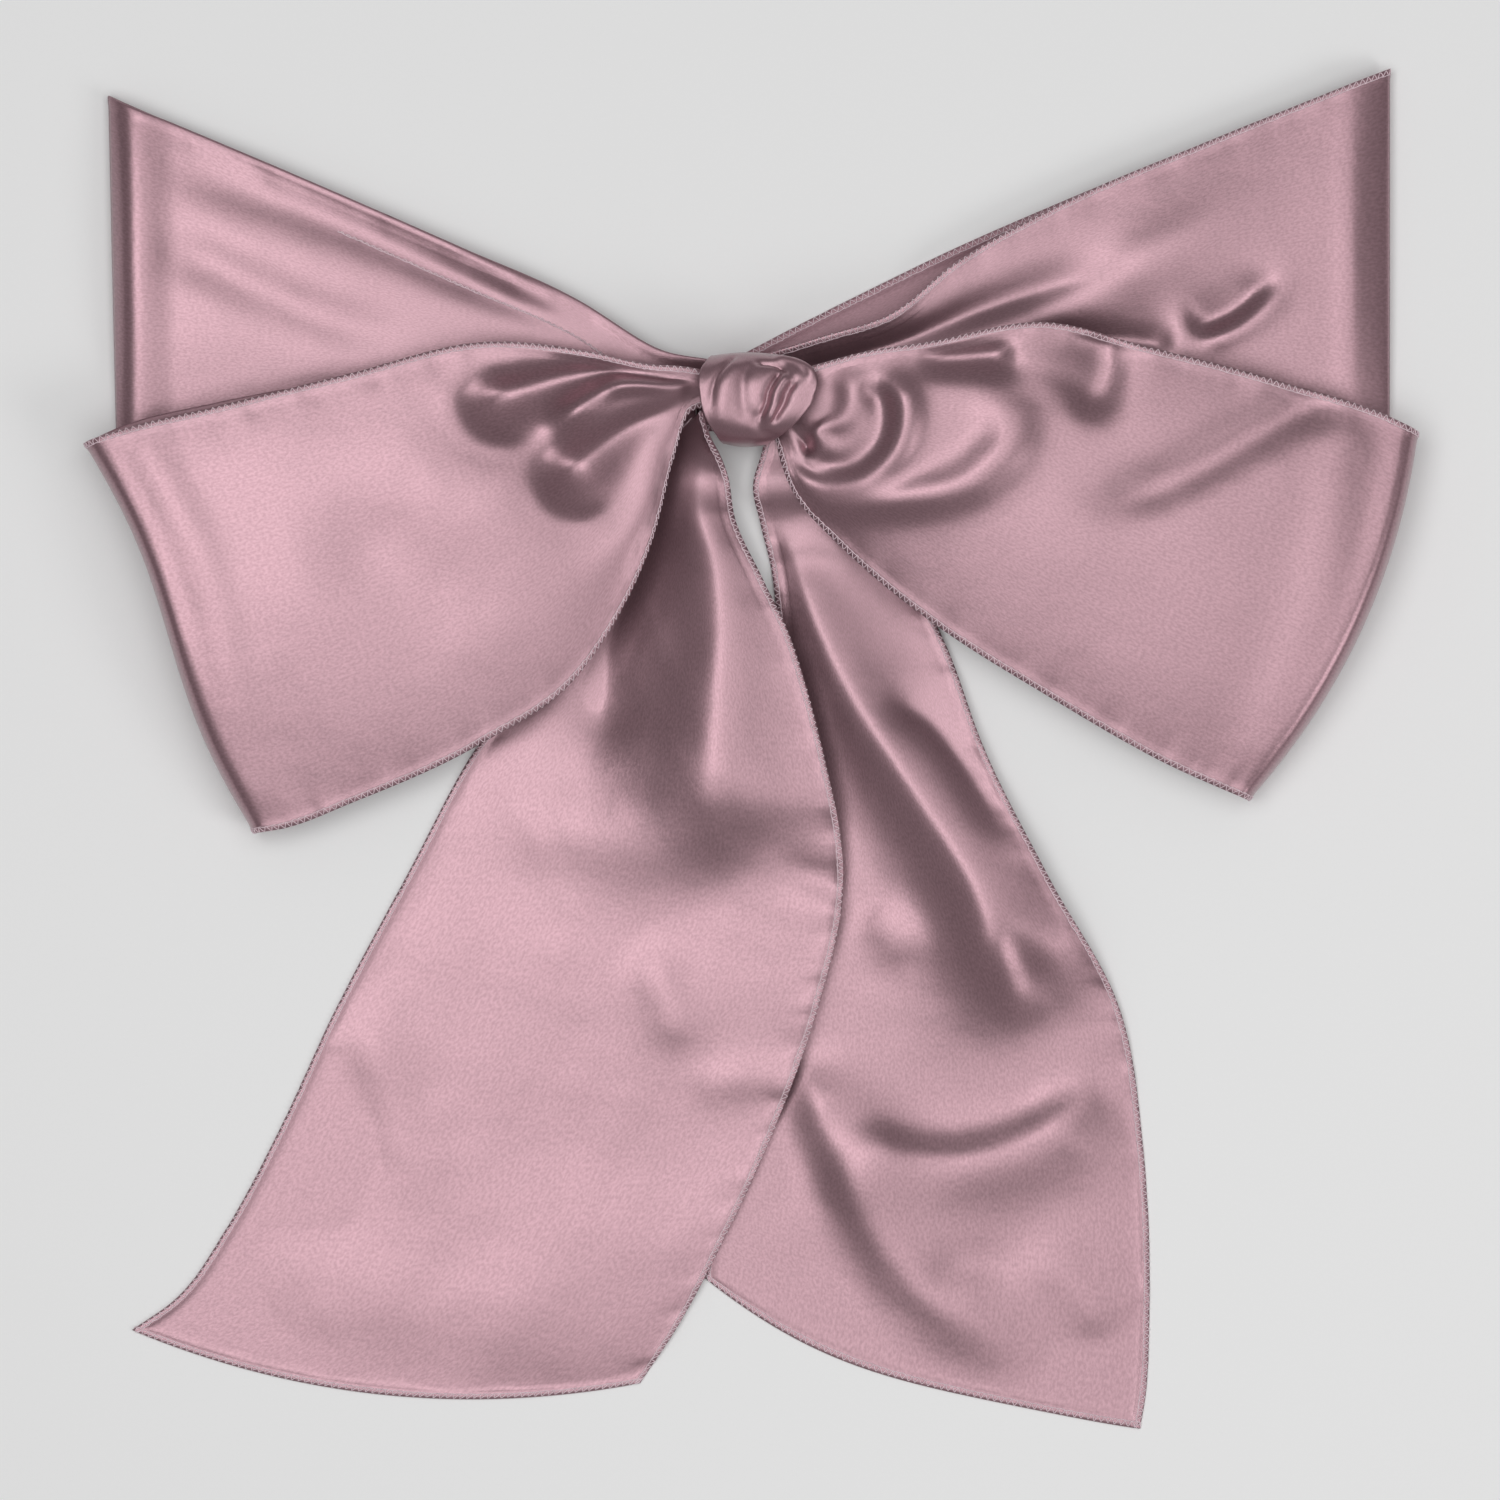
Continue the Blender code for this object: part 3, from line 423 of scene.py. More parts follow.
class SashStitchSettings(bpy.types.PropertyGroup):
    """Sizes and colour of the overlocked edge."""

    length: bpy.props.FloatProperty(
        name="Stitch length", description="Length of one overlock stitch", default=0.0024,
        unit="LENGTH",
    )
    width: bpy.props.FloatProperty(
        name="Stitch width", description="How far the stitches reach in from the edge",
        default=0.0019, unit="LENGTH",
    )
    thread: bpy.props.FloatProperty(
        name="Thread", description="Radius of the thread", default=0.00017, unit="LENGTH"
    )
    unevenness: bpy.props.FloatProperty(
        name="Unevenness", description="How far a stitch strays", default=0.00014, unit="LENGTH"
    )
    seed: bpy.props.IntProperty(name="Seed", description="Changes how the stitches stray", default=4)
    colour: bpy.props.FloatVectorProperty(
        name="Thread colour", description="Colour of the thread", default=(0.86, 0.66, 0.71),
        size=3, subtype="COLOR", min=0, max=1,
    )


class SashStageSettings(bpy.types.PropertyGroup):
    """The floor, the lights and the surroundings."""

    floor_colour: bpy.props.FloatVectorProperty(
        name="Floor colour", description="Colour of the floor", default=(0.94, 0.94, 0.94),
        size=3, subtype="COLOR", min=0, max=1,
    )
    overhead_power: bpy.props.FloatProperty(
        name="Overhead light", description="Power of the broad light overhead in watts", default=20.5
    )
    left_power: bpy.props.FloatProperty(
        name="Left light", description="Power of the light left of the middle in watts", default=4.5
    )
    right_power: bpy.props.FloatProperty(
        name="Right light", description="Power of the light at the lower right in watts", default=8.0
    )
    sky: bpy.props.FloatProperty(
        name="Surroundings", description="Brightness of the surroundings", default=0.2
    )


def linked(name, data):
    """A new object in the scene, at the origin."""
    made = bpy.data.objects.new(name, data)
    bpy.context.scene.collection.objects.link(made)
    return made


def fitted(made, node=None):
    """Hands a finished piece to the frame, in place of its solid where it has one."""
    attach(made, "root")
    if node:
        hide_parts(node)
    return made


def smooth(t):
    """0 to 1 with no slope at either end."""
    t = np.clip(t, 0.0, 1.0)
    return t * t * (3.0 - 2.0 * t)


def hermite(values, knots, at):
    """Each column of values, as a smooth curve through the rows, read at the given knots."""
    slopes = np.gradient(values, knots, axis=0)
    cell = np.clip(np.searchsorted(knots, at, side="right") - 1, 0, len(knots) - 2)
    width = (knots[cell + 1] - knots[cell])[:, None]
    t = (at[:, None] - knots[cell][:, None]) / width
    start, end = values[cell], values[cell + 1]
    slope_start, slope_end = slopes[cell] * width, slopes[cell + 1] * width
    return (
        (2 * t**3 - 3 * t**2 + 1) * start
        + (t**3 - 2 * t**2 + t) * slope_start
        + (3 * t**2 - 2 * t**3) * end
        + (t**3 - t**2) * slope_end
    )


def section_table(sections):
    """The sections as a table, and how far along the strip each lies."""
    table = np.array(sections, float)
    middles = (table[:, 0:3] + table[:, 3:6]) / 2
    steps = np.linalg.norm(np.diff(middles, axis=0), axis=1)
    return table, np.concatenate([[0.0], np.cumsum(steps)])


def row_places(knots, tail):
    """Where the rows lie along the strip, closer together over the hem of a tail's end."""
    if not tail:
        return np.linspace(0.0, knots[-1], int(knots[-1] / ROW_STEP) + 1)
    last = knots[-1] - HEM_COLUMNS[-1]
    even = np.linspace(0.0, last, int(last / ROW_STEP) + 1)
    return np.concatenate([even[:-1], knots[-1] - np.array(HEM_COLUMNS[::-1])])


def column_places(width):
    """Places across one row, from 0 to 1, with the hem's own columns at both edges."""
    hem = np.array(HEM_COLUMNS) / np.maximum(width, 3.0 * HEM_COLUMNS[-1])[:, None]
    inner = np.linspace(0.0, 1.0, INNER_COLUMNS + 1)[None, 1:-1]
    start = hem[:, -1:]
    return np.concatenate([hem, start + (1 - 2 * start) * inner, 1 - hem[:, ::-1]], axis=1)


def fold_height(fold, x, y):
    """The fold's height at plan points."""
    path = np.array(fold.path, float)
    lengths = np.hypot(*np.diff(path, axis=0).T)
    knots = np.concatenate([[0.0], np.cumsum(lengths)])
    curve = hermite(path, knots, np.linspace(0.0, knots[-1], CURVE_STEPS + 1))
    away, along, side = [], [], []
    for i, (start, end) in enumerate(zip(curve, curve[1:])):
        way = end - start
        px, py = x - start[0], y - start[1]
        share = np.clip((px * way[0] + py * way[1]) / (way @ way), 0.0, 1.0)
        far = np.hypot(px - share * way[0], py - share * way[1])
        away.append(far)
        along.append((i + share) / CURVE_STEPS)
        side.append((way[0] * py - way[1] * px) / (np.hypot(*way) * np.maximum(far, TINY)))
    away, along, side = np.array(away), np.array(along), np.array(side)
    nearest = away.min(axis=0)
    weight = np.exp((nearest - away) / FOLD_BLEND)
    total = weight.sum(axis=0)
    along = (along * weight).sum(axis=0) / total
    side = (side * weight).sum(axis=0) / total
    wide = fold.wide0 + (fold.wide1 - fold.wide0) * along
    high = fold.high0 + (fold.high1 - fold.high0) * along
    if fold.rise:
        high = high * smooth(along / fold.rise)
    if fold.fall:
        high = high * smooth((1 - along) / fold.fall)
    return high * np.exp(-((nearest / (wide * (1 + fold.skew * side))) ** fold.crisp))


def blurred(grid, passes):
    """A grid of heights with its sharp corners softened."""
    for _ in range(passes):
        for axis in (0, 1):
            ends = [(1, 1) if axis == k else (0, 0) for k in (0, 1)]
            wide = np.pad(grid, ends, mode="edge")
            low = np.take(wide, range(0, grid.shape[axis]), axis=axis)
            high = np.take(wide, range(2, grid.shape[axis] + 2), axis=axis)
            grid = (low + 2 * grid + high) / 4
    return grid


def undulation(x, y, phase):
    """A faint, broad unevenness from -1 to 1 at plan points, with finer ripples on it."""
    waves = ((0.075, 0.041), (-0.052, 0.083), (0.118, -0.067), (0.031, 0.142), (-0.151, -0.038))
    ripples = ((0.21, 0.13), (-0.17, 0.26), (0.33, -0.11), (0.09, 0.38), (-0.41, -0.19))
    total = 0.0
    for k, (wx, wy) in enumerate(waves):
        total = total + np.sin(wx * x + wy * y + phase * (k + 1.7) + k * k)
    patches = 0.5 + 0.5 * np.sin(0.061 * x - 0.047 * y + phase) * np.sin(0.043 * x + 0.071 * y)
    for k, (wx, wy) in enumerate(ripples):
        bend = 1.3 * np.sin(0.05 * x + 0.06 * y + k)
        total = total + 0.3 * patches * np.sin(wx * x + wy * y + phase * (k + 0.6) + k + bend)
    return total / len(waves)


def hem_wave(along, phase):
    """The waviness of a hem, from -1 to 1, at distances along it."""
    return (
        np.sin(along * 0.31 + phase)
        + 0.7 * np.sin(along * 0.53 + 2.3 * phase + 1.1 * np.sin(along * 0.047 + phase))
        + 0.4 * np.sin(along * 0.97 + 4.1 * phase)
    ) / 2.1


def stretch_points(stretch):
    """The middle surface of a stretch, its places across, and its places along."""
    table, knots = section_table(stretch.sections)
    at = row_places(knots, stretch.tail)
    rows = hermite(table, knots, at)
    a, b = rows[:, None, 0:3], rows[:, None, 3:6]
    v = column_places(np.linalg.norm(rows[:, 3:6] - rows[:, 0:3], axis=1))
    crown, bow, sway = (rows[:, 6 + k][:, None] for k in range(3))
    points = a + (b - a) * v[..., None]
    arch = 1 - (2 * v - 1) ** 2
    outward = np.stack([b[..., 1] - a[..., 1], a[..., 0] - b[..., 0]], axis=-1)
    outward = outward / np.linalg.norm(outward, axis=-1, keepdims=True)
    push = bow * arch + sway * np.sin(2 * pi * v)
    points[..., 0:2] += outward * push[..., None]
    points[..., 2] += crown * arch
    face = np.ones(len(rows))
    if stretch.turn is not None:
        turn = stretch.turn
        face = smooth((knots[turn - 1] - at) / (knots[turn - 1] - knots[turn - 2]))
    x, y = points[..., 0].copy(), points[..., 1].copy()
    front = sum((fold_height(fold, x, y) for fold in stretch.folds), np.zeros(x.shape))
    height = blurred(front, BLUR_PASSES) * face[:, None]
    if stretch.back_folds:
        behind = smooth((at - knots[stretch.turn + 1]) / (knots[stretch.turn + 2] - knots[stretch.turn]))
        back = sum(fold_height(fold, x, y) for fold in stretch.back_folds)
        height += blurred(back, BLUR_PASSES) * behind[:, None]
    shape_in = smooth(at / SAG_FADE)[:, None] * face[:, None]
    height += stretch.sag * undulation(x, y, stretch.phase) * shape_in
    width = np.linalg.norm(rows[:, 3:6] - rows[:, 0:3], axis=1)[:, None]
    edge = np.exp(-((v * width / WAVE_REACH) ** 2)) * hem_wave(at, stretch.phase)[:, None]
    other = hem_wave(at, stretch.phase + OTHER_HEM_PHASE)[:, None]
    edge += np.exp(-(((1 - v) * width / WAVE_REACH) ** 2)) * other
    height += stretch.waves * edge * smooth(at / WAVE_FADE)[:, None] * face[:, None]
    points[..., 2] += height
    return points, v, at, width


def hem_share(distance):
    """The hem's share of its full thickness at distances from the edge."""
    return np.interp(distance, HEM_COLUMNS, HEM_SHARE)


def wall_thickness(stretch, v, at, width, cloth, hem):
    """The thickness of the cloth at each point, in millimetres."""
    share = hem_share(np.minimum(v, 1 - v) * width)
    if stretch.tail:
        share = np.maximum(share, hem_share(at[-1] - at)[:, None])
    edge = np.minimum(v, 1 - v) * width
    thick = cloth + (hem - cloth) * share
    return np.where(edge < HEM_COLUMNS[1], hem * HEM_SHARE[0], thick)


def surface_normals(points, closed=False):
    """The unit normals of a grid of points, on the side that faces up at its start."""
    if closed:
        along = np.roll(points, -1, axis=0) - np.roll(points, 1, axis=0)
    else:
        along = np.gradient(points, axis=0)
    across = np.gradient(points, axis=1)
    normals = np.cross(along, across)
    normals /= np.maximum(np.linalg.norm(normals, axis=-1, keepdims=True), TINY)
    return normals


def shell_object(name, points, normals, thick, along, across, closed=False):
    """A closed wall of cloth round a grid of points, with its own UV map in metres."""
    rows, columns = points.shape[:2]
    half = thick[..., None] / 2
    outer, inner = points + normals * half, points - normals * half
    count = rows * columns
    corners = np.concatenate([outer.reshape(-1, 3), inner.reshape(-1, 3)]) * MM
    i = np.arange(rows if closed else rows - 1)[:, None]
    j = np.arange(columns - 1)[None, :]
    k = (i + 1) % rows
    face = np.stack([i * columns + j, k * columns + j, k * columns + j + 1, i * columns + j + 1], -1)
    face = face.reshape(-1, 4)
    first = points[face[0] // columns, face[0] % columns]
    turned = np.dot(np.cross(first[1] - first[0], first[3] - first[0]), normals[0, 0]) < 0
    right = face[:, ::-1] if turned else face
    wrong = face if turned else face[:, ::-1]
    faces = np.concatenate([right, wrong + count])
    edges = []
    for column, flip in ((0, False), (columns - 1, True)):
        start = (i * columns + column).ravel()
        end = (k * columns + column).ravel()
        quad = np.stack([start, start + count, end + count, end], -1)
        edges.append(quad[:, ::-1] if flip != turned else quad)
    if not closed:
        for row, flip in ((0, True), (rows - 1, False)):
            start = row * columns + np.arange(columns - 1)
            end = start + 1
            quad = np.stack([start, start + count, end + count, end], -1)
            edges.append(quad[:, ::-1] if flip != turned else quad)
    faces = np.concatenate([faces] + edges)
    mesh = bpy.data.meshes.new(name)
    mesh.from_pydata(corners.tolist(), [], faces.tolist())
    mesh.shade_smooth()
    place = np.stack([along, across], -1).reshape(-1, 2) * MM
    place = np.concatenate([place, place])
    loops = np.empty(len(mesh.loops), dtype=np.int32)
    mesh.loops.foreach_get("vertex_index", loops)
    layer = mesh.uv_layers.new(name=UV_NAME)
    layer.data.foreach_set("uv", place[loops].ravel().astype(np.float32))
    side = mesh.attributes.new(RIGHT_SIDE, "FLOAT", "POINT")
    values = np.concatenate([np.ones(count), np.zeros(count)])
    side.data.foreach_set("value", values.astype(np.float32))
    return linked(name, mesh)


class Value:
    """A number from a shader socket, which Python's operators extend with Math nodes."""

    def __init__(self, shader, socket):
        self.shader = shader
        self.socket = socket

    def maths(self, operation, *values):
        return self.shader.node("ShaderNodeMath", {"operation": operation}, dict(enumerate(values)))

    def __add__(self, other):
        return self.maths("ADD", self, other)

    __radd__ = __add__

    def __sub__(self, other):
        return self.maths("SUBTRACT", self, other)

    def __rsub__(self, other):
        return self.maths("SUBTRACT", other, self)

    def __mul__(self, other):
        return self.maths("MULTIPLY", self, other)

    __rmul__ = __mul__


class Shader:
    """A material's node tree, with one method that adds any node."""

    def __init__(self, name):
        self.material = bpy.data.materials.new(name)
        self.material.use_nodes = True
        self.tree = self.material.node_tree
        self.tree.nodes.clear()
        self.surface = self.tree.nodes.new("ShaderNodeBsdfPrincipled")
        output = self.tree.nodes.new("ShaderNodeOutputMaterial")
        self.tree.links.new(self.surface.outputs[0], output.inputs["Surface"])

    def put(self, node, sockets):
        for key, value in sockets.items():
            if isinstance(value, Value):
                self.tree.links.new(value.socket, node.inputs[key])
            else:
                node.inputs[key].default_value = value

    def node(self, kind, settings, sockets, output=0):
        node = self.tree.nodes.new(kind)
        for key, value in settings.items():
            setattr(node, key, value)
        self.put(node, sockets)
        return Value(self, node.outputs[output])

    def noise(self, vector, scale, detail=2.0):
        sockets = {"Vector": vector, "Scale": scale, "Detail": detail}
        return self.node("ShaderNodeTexNoise", {}, sockets)

    def stretched(self, vector, scale):
        return self.node("ShaderNodeMapping", {}, {"Vector": vector, "Scale": scale})

    def tinted(self, factor, first, second):
        """A colour between two, by a factor."""
        sockets = {"Factor": factor, MIX_FIRST: (*first, 1.0), MIX_SECOND: (*second, 1.0)}
        return self.node("ShaderNodeMix", {"data_type": "RGBA"}, sockets, MIX_RESULT)


def shaded(colour, *shares):
    """A colour made darker or lighter, part by part."""
    return tuple(min(part * share, 1.0) for part, share in zip(colour, shares))


def satin(cloth):
    """Dusty rose satin: a soft metal-like sheen, fine floats along the strip and a duller back."""
    made = bpy.data.materials.get("satin_cloth")
    if made:
        return made
    shader = Shader("satin_cloth")
    place = shader.node("ShaderNodeUVMap", {"uv_map": UV_NAME}, {})
    space = shader.node("ShaderNodeTexCoord", {}, {}, "Object")
    right = shader.node("ShaderNodeAttribute", {"attribute_name": RIGHT_SIDE}, {}, "Fac")
    floats = shader.noise(shader.stretched(place, (1100.0, 5200.0, 1.0)), 1.0, 1.0)
    grain = shader.noise(shader.stretched(place, (750.0, 1050.0, 1.0)), 1.0, 2.0)
    slubs = shader.noise(shader.stretched(place, (18.0, 900.0, 1.0)), 1.0, 1.0)
    clouds = shader.noise(space, 34.0, 3.0)
    ripples = shader.noise(space, 95.0, 3.0)
    mix = (clouds - 0.5) * 0.5 + (slubs - 0.5) * 0.35 + (grain - 0.5) * 3.4 + 0.5
    dark = shaded(cloth.colour, 0.86, 0.84, 0.85)
    light = shaded(cloth.colour, 1.12, 1.14, 1.13)
    height = floats * 0.00004 + grain * 0.00005 + ripples * 0.00035 + slubs * 0.00002
    bump = shader.node(
        "ShaderNodeBump", {}, {"Strength": 0.55, "Distance": 1.0, "Height": height}
    )
    shader.put(
        shader.surface,
        {
            "Base Color": shader.tinted(mix, dark, light),
            "Roughness": cloth.roughness + (clouds - 0.5) * 0.06 + (1.0 - right) * 0.2,
            "Metallic": 0.42 + right * 0.3,
            "Coat Weight": 0.2 + right * 0.45,
            "Coat Roughness": 0.4,
            "Coat IOR": 1.8,
            "Normal": bump,
        },
    )
    return shader.material


def thread(stitch):
    """Spun polyester thread, a little paler than the satin."""
    made = bpy.data.materials.get("overlock_thread")
    if made:
        return made
    shader = Shader("overlock_thread")
    space = shader.node("ShaderNodeTexCoord", {}, {}, "Object")
    fibres = shader.noise(space, 2400.0, 2.0)
    shade = shader.noise(space, 160.0, 2.0)
    bump = shader.node("ShaderNodeBump", {}, {"Strength": 0.4, "Distance": 0.0001, "Height": fibres})
    shader.put(
        shader.surface,
        {
            "Base Color": shader.tinted(
                shade * 0.6 + fibres * 0.4,
                shaded(stitch.colour, 0.72, 0.68, 0.70),
                shaded(stitch.colour, 1.25, 1.25, 1.25),
            ),
            "Roughness": 0.42 + fibres * 0.2,
            "Metallic": 0.1,
            "Normal": bump,
        },
    )
    return shader.material


def floor_finish(stage):
    """Matt pale paper."""
    shader = Shader("pale_floor")
    space = shader.node("ShaderNodeTexCoord", {}, {}, "Object")
    tooth = shader.noise(space, 900.0, 2.0)
    bump = shader.node("ShaderNodeBump", {}, {"Strength": 0.1, "Distance": 0.0002, "Height": tooth})
    shader.put(
        shader.surface,
        {
            "Base Color": shader.tinted(
                tooth, shaded(stage.floor_colour, 0.985, 0.985, 0.985), tuple(stage.floor_colour)
            ),
            "Roughness": 0.9,
            "Normal": bump,
        },
    )
    return shader.material


class StitchTree:
    """Builds the node tree that lays overlock stitches along a hem's guide line."""

    def __init__(self, name):
        self.tree = bpy.data.node_groups.new(name, "GeometryNodeTree")
        self.inputs = {}
        for label, kind in (
            ("Hem line", "NodeSocketGeometry"),
            ("Stitch length", "NodeSocketFloat"),
            ("Stitch width", "NodeSocketFloat"),
            ("Thread radius", "NodeSocketFloat"),
            ("Lift", "NodeSocketFloat"),
            ("Unevenness", "NodeSocketFloat"),
            ("Seed", "NodeSocketInt"),
            ("Thread", "NodeSocketMaterial"),
        ):
            made = self.tree.interface.new_socket(label, in_out="INPUT", socket_type=kind)
            self.inputs[label] = made.identifier
        self.tree.interface.new_socket("Stitches", in_out="OUTPUT", socket_type="NodeSocketGeometry")
        self.given = self.tree.nodes.new("NodeGroupInput")
        self.result = self.tree.nodes.new("NodeGroupOutput")

    def given_value(self, label):
        return self.given.outputs[label]

    def node(self, kind, settings=None, sockets=None, output=0):
        node = self.tree.nodes.new(kind)
        for key, value in (settings or {}).items():
            setattr(node, key, value)
        for key, value in (sockets or {}).items():
            if isinstance(value, bpy.types.NodeSocket):
                self.tree.links.new(value, node.inputs[key])
            else:
                node.inputs[key].default_value = value
        return node.outputs[output]

    def maths(self, operation, *values):
        return self.node("ShaderNodeMath", {"operation": operation}, dict(enumerate(values)))

    def scaled(self, vector, factor):
        return self.node(
            "ShaderNodeVectorMath", {"operation": "SCALE"}, {"Vector": vector, "Scale": factor}
        )

    def added(self, first, second):
        return self.node("ShaderNodeVectorMath", {"operation": "ADD"}, {0: first, 1: second})

    def attribute(self, name):
        return self.node("GeometryNodeInputNamedAttribute", {"data_type": "FLOAT_VECTOR"}, {"Name": name})

    def tube(self, line):
        """The thread along a line, as a closed tube."""
        ring = self.node(
            "GeometryNodeCurvePrimitiveCircle", {},
            {"Resolution": THREAD_SIDES, "Radius": self.given_value("Thread radius")},
        )
        return self.node(
            "GeometryNodeCurveToMesh", {},
            {"Curve": line, "Profile Curve": ring, "Fill Caps": True},
        )

    def row(self, points_per_stitch, across_wave, lift_wave, inset):
        """One thread that goes to and fro along the hem."""
        line = self.node("GeometryNodeMeshToCurve", {}, {"Mesh": self.given_value("Hem line")})
        step = self.maths("DIVIDE", self.given_value("Stitch length"), float(points_per_stitch))
        line = self.node(
            "GeometryNodeResampleCurve", {"mode": "LENGTH"}, {"Curve": line, "Length": step}
        )
        index = self.node("GeometryNodeInputIndex")
        turn = self.maths("MULTIPLY", index, 2 * pi / points_per_stitch)
        half = self.maths("MULTIPLY", self.given_value("Stitch width"), 0.5)
        across = self.maths("MULTIPLY", self.maths("COSINE", turn), across_wave)
        across = self.maths("MULTIPLY", self.maths("ADD", across, inset), half)
        lift = self.maths("ABSOLUTE", self.maths("SINE", self.maths("MULTIPLY", turn, lift_wave)))
        lift = self.maths("MULTIPLY", lift, self.given_value("Lift"))
        stray = self.node(
            "FunctionNodeRandomValue", {"data_type": "FLOAT_VECTOR"},
            {0: (-1, -1, -1), 1: (1, 1, 1), "Seed": self.given_value("Seed")},
        )
        stray = self.scaled(stray, self.given_value("Unevenness"))
        move = self.added(
            self.scaled(self.attribute("inward"), across), self.scaled(self.attribute("up"), lift)
        )
        line = self.node(
            "GeometryNodeSetPosition", {}, {"Geometry": line, "Offset": self.added(move, stray)}
        )
        return line

    def finish(self, rows):
        joined = self.tree.nodes.new("GeometryNodeJoinGeometry")
        for row in rows:
            self.tree.links.new(row, joined.inputs[0])
        shaded = self.node("GeometryNodeSetShadeSmooth", {}, {"Geometry": joined.outputs[0]})
        real = self.node("GeometryNodeRealizeInstances", {}, {"Geometry": shaded})
        done = self.node(
            "GeometryNodeSetMaterial", {},
            {"Geometry": real, "Material": self.given_value("Thread")},
        )
        self.tree.links.new(done, self.result.inputs[0])
        return self.tree


def overlock_tree():
    """The overlock edge: one thread to and fro over the hem, and the needle's line inside it."""
    made = StitchTree("overlock_edge")
    loops = made.row(points_per_stitch=4, across_wave=1.0, lift_wave=1.0, inset=0.0)
    smooth_loops = made.node(
        "GeometryNodeCurveSplineType", {"spline_type": "CATMULL_ROM"}, {"Curve": loops}
    )
    smooth_loops = made.node(
        "GeometryNodeSetSplineResolution", {}, {"Geometry": smooth_loops, "Resolution": 2}
    )
    needle = made.row(points_per_stitch=2, across_wave=0.06, lift_wave=0.5, inset=1.0)
    return made.finish([made.tube(smooth_loops), made.tube(needle)]), made.inputs


def stitch_point(away, points, normals, thick, inset):
    """Where a stitch line crosses one run of cloth in from the edge, with its ways in and up."""

    def read(values, distance):
        return np.array([np.interp(distance, away, values[:, k]) for k in range(3)])

    place, normal = read(points, inset), read(normals, inset)
    if normal[2] < 0 and place[2] < FLOOR_LAYER:
        normal = -normal
    inward = read(points, inset + INWARD_STEP) - place
    inward /= max(np.linalg.norm(inward), TINY)
    return place + normal * np.interp(inset, away, thick) / 2, inward, normal


def hem_guides(stretch, points, normals, thick, at, width, v, inset):
    """The lines that the stitches follow: one along each hem, and one along a tail's end."""
    lines = []
    for share, order in ((v, slice(None)), (1 - v, slice(None, None, -1))):
        runs = zip((share * width)[:, order], points[:, order], normals[:, order], thick[:, order])
        lines.append([stitch_point(*run, inset) for run in runs])
    if stretch.tail:
        away = (at[-1] - at)[::-1]
        lines.append(
            [
                stitch_point(away, points[::-1, j], normals[::-1, j], thick[::-1, j], inset)
                for j in range(points.shape[1])
            ]
        )
    return lines


def guide_object(name, lines):
    """The hem lines as one mesh of edges that carries each point's ways in and up."""
    corners, ways_in, ways_up, edges = [], [], [], []
    for rows in lines:
        start = len(corners)
        for place, inward, normal in rows:
            corners.append(tuple(place * MM))
            ways_in.extend(inward)
            ways_up.extend(normal)
        edges += [(k, k + 1) for k in range(start, len(corners) - 1)]
    mesh = bpy.data.meshes.new(name)
    mesh.from_pydata(corners, edges, [])
    for label, values in (("inward", ways_in), ("up", ways_up)):
        layer = mesh.attributes.new(label, "FLOAT_VECTOR", "POINT")
        layer.data.foreach_set("vector", np.array(values, dtype=np.float32))
    return linked(name, mesh)


def stitched(name, lines, tree, inputs, stitch, width=1.0):
    """The stitches along hem lines, as one plain mesh."""
    guide = guide_object(name + "_guide", lines)
    laid = guide.modifiers.new("stitches", "NODES")
    laid.node_group = tree
    values = {
        "Stitch length": stitch.length,
        "Stitch width": stitch.width * width,
        "Thread radius": stitch.thread,
        "Lift": stitch.thread * 1.3,
        "Unevenness": stitch.unevenness,
        "Seed": stitch.seed,
        "Thread": thread(stitch),
    }
    for label, value in values.items():
        laid[inputs[label]] = value
    guide.update_tag()
    depsgraph = bpy.context.evaluated_depsgraph_get()
    mesh = bpy.data.meshes.new_from_object(guide.evaluated_get(depsgraph))
    mesh.name = name
    made = linked(name, mesh)
    bpy.data.objects.remove(guide)
    return made


GUIDES = {}


def make_stretch(stretch, scene):
    """One stretch of the strip, as a thin shell with its hems, riding in place of its solid."""
    cloth = scene.sash_cloth
    points, v, at, width = stretch_points(stretch)
    thick = wall_thickness(stretch, v, at, width, cloth.thickness / MM, cloth.hem_thickness / MM)
    points[..., 2] = np.maximum(points[..., 2], thick / 2)
    normals = surface_normals(points)
    third = len(at) // 3
    if normals[:third, :, 2].mean() < 0:
        normals = -normals
    strip = np.linspace(0.0, cloth.width / MM, v.shape[1])
    along = np.repeat(at[:, None], v.shape[1], axis=1)
    across = np.repeat(strip[None, :], len(at), axis=0)
    made = shell_object(stretch.node + "_cloth", points, normals, thick, along, across)
    made.data.materials.append(satin(cloth))
    place = (stretch, points, normals, thick, at, width, v)
    GUIDES[stretch.node] = hem_guides(*place, OVERLOCK_INSET)
    if stretch.node == TURNED_HEM_NODE:
        inner = hem_guides(*place, TURNED_HEM_INSET)[0]
        front = [row for row in inner if row[0][2] > FLOOR_LAYER]
        GUIDES[stretch.node] = GUIDES[stretch.node][1:]
        GUIDES[TURNED_HEM] = [
            [row for row in front if TURNED_HEM_START < row[0][0] < TURNED_HEM_END]
        ]
    return fitted(made, stretch.node)


def make_sheets(group, scene, **how):
    """Each stretch of a group."""
    for stretch in group:
        make_stretch(stretch, scene)


def wrap_edges(angle):
    """Where the knot's band begins and ends along X at an angle, and how proud it is."""
    table = np.array(WRAP, float)
    return hermite(table[:, 1:], table[:, 0], np.array([angle]))[0]


def flattened(part, height):
    """A sine or cosine bent so that the knot's upper side is flatter than a circle."""
    power = 1.0 - KNOT_FLATNESS * float(smooth(height / KNOT_FADE)) if height > 0 else 1.0
    return abs(part) ** power * (1 if part > 0 else -1)


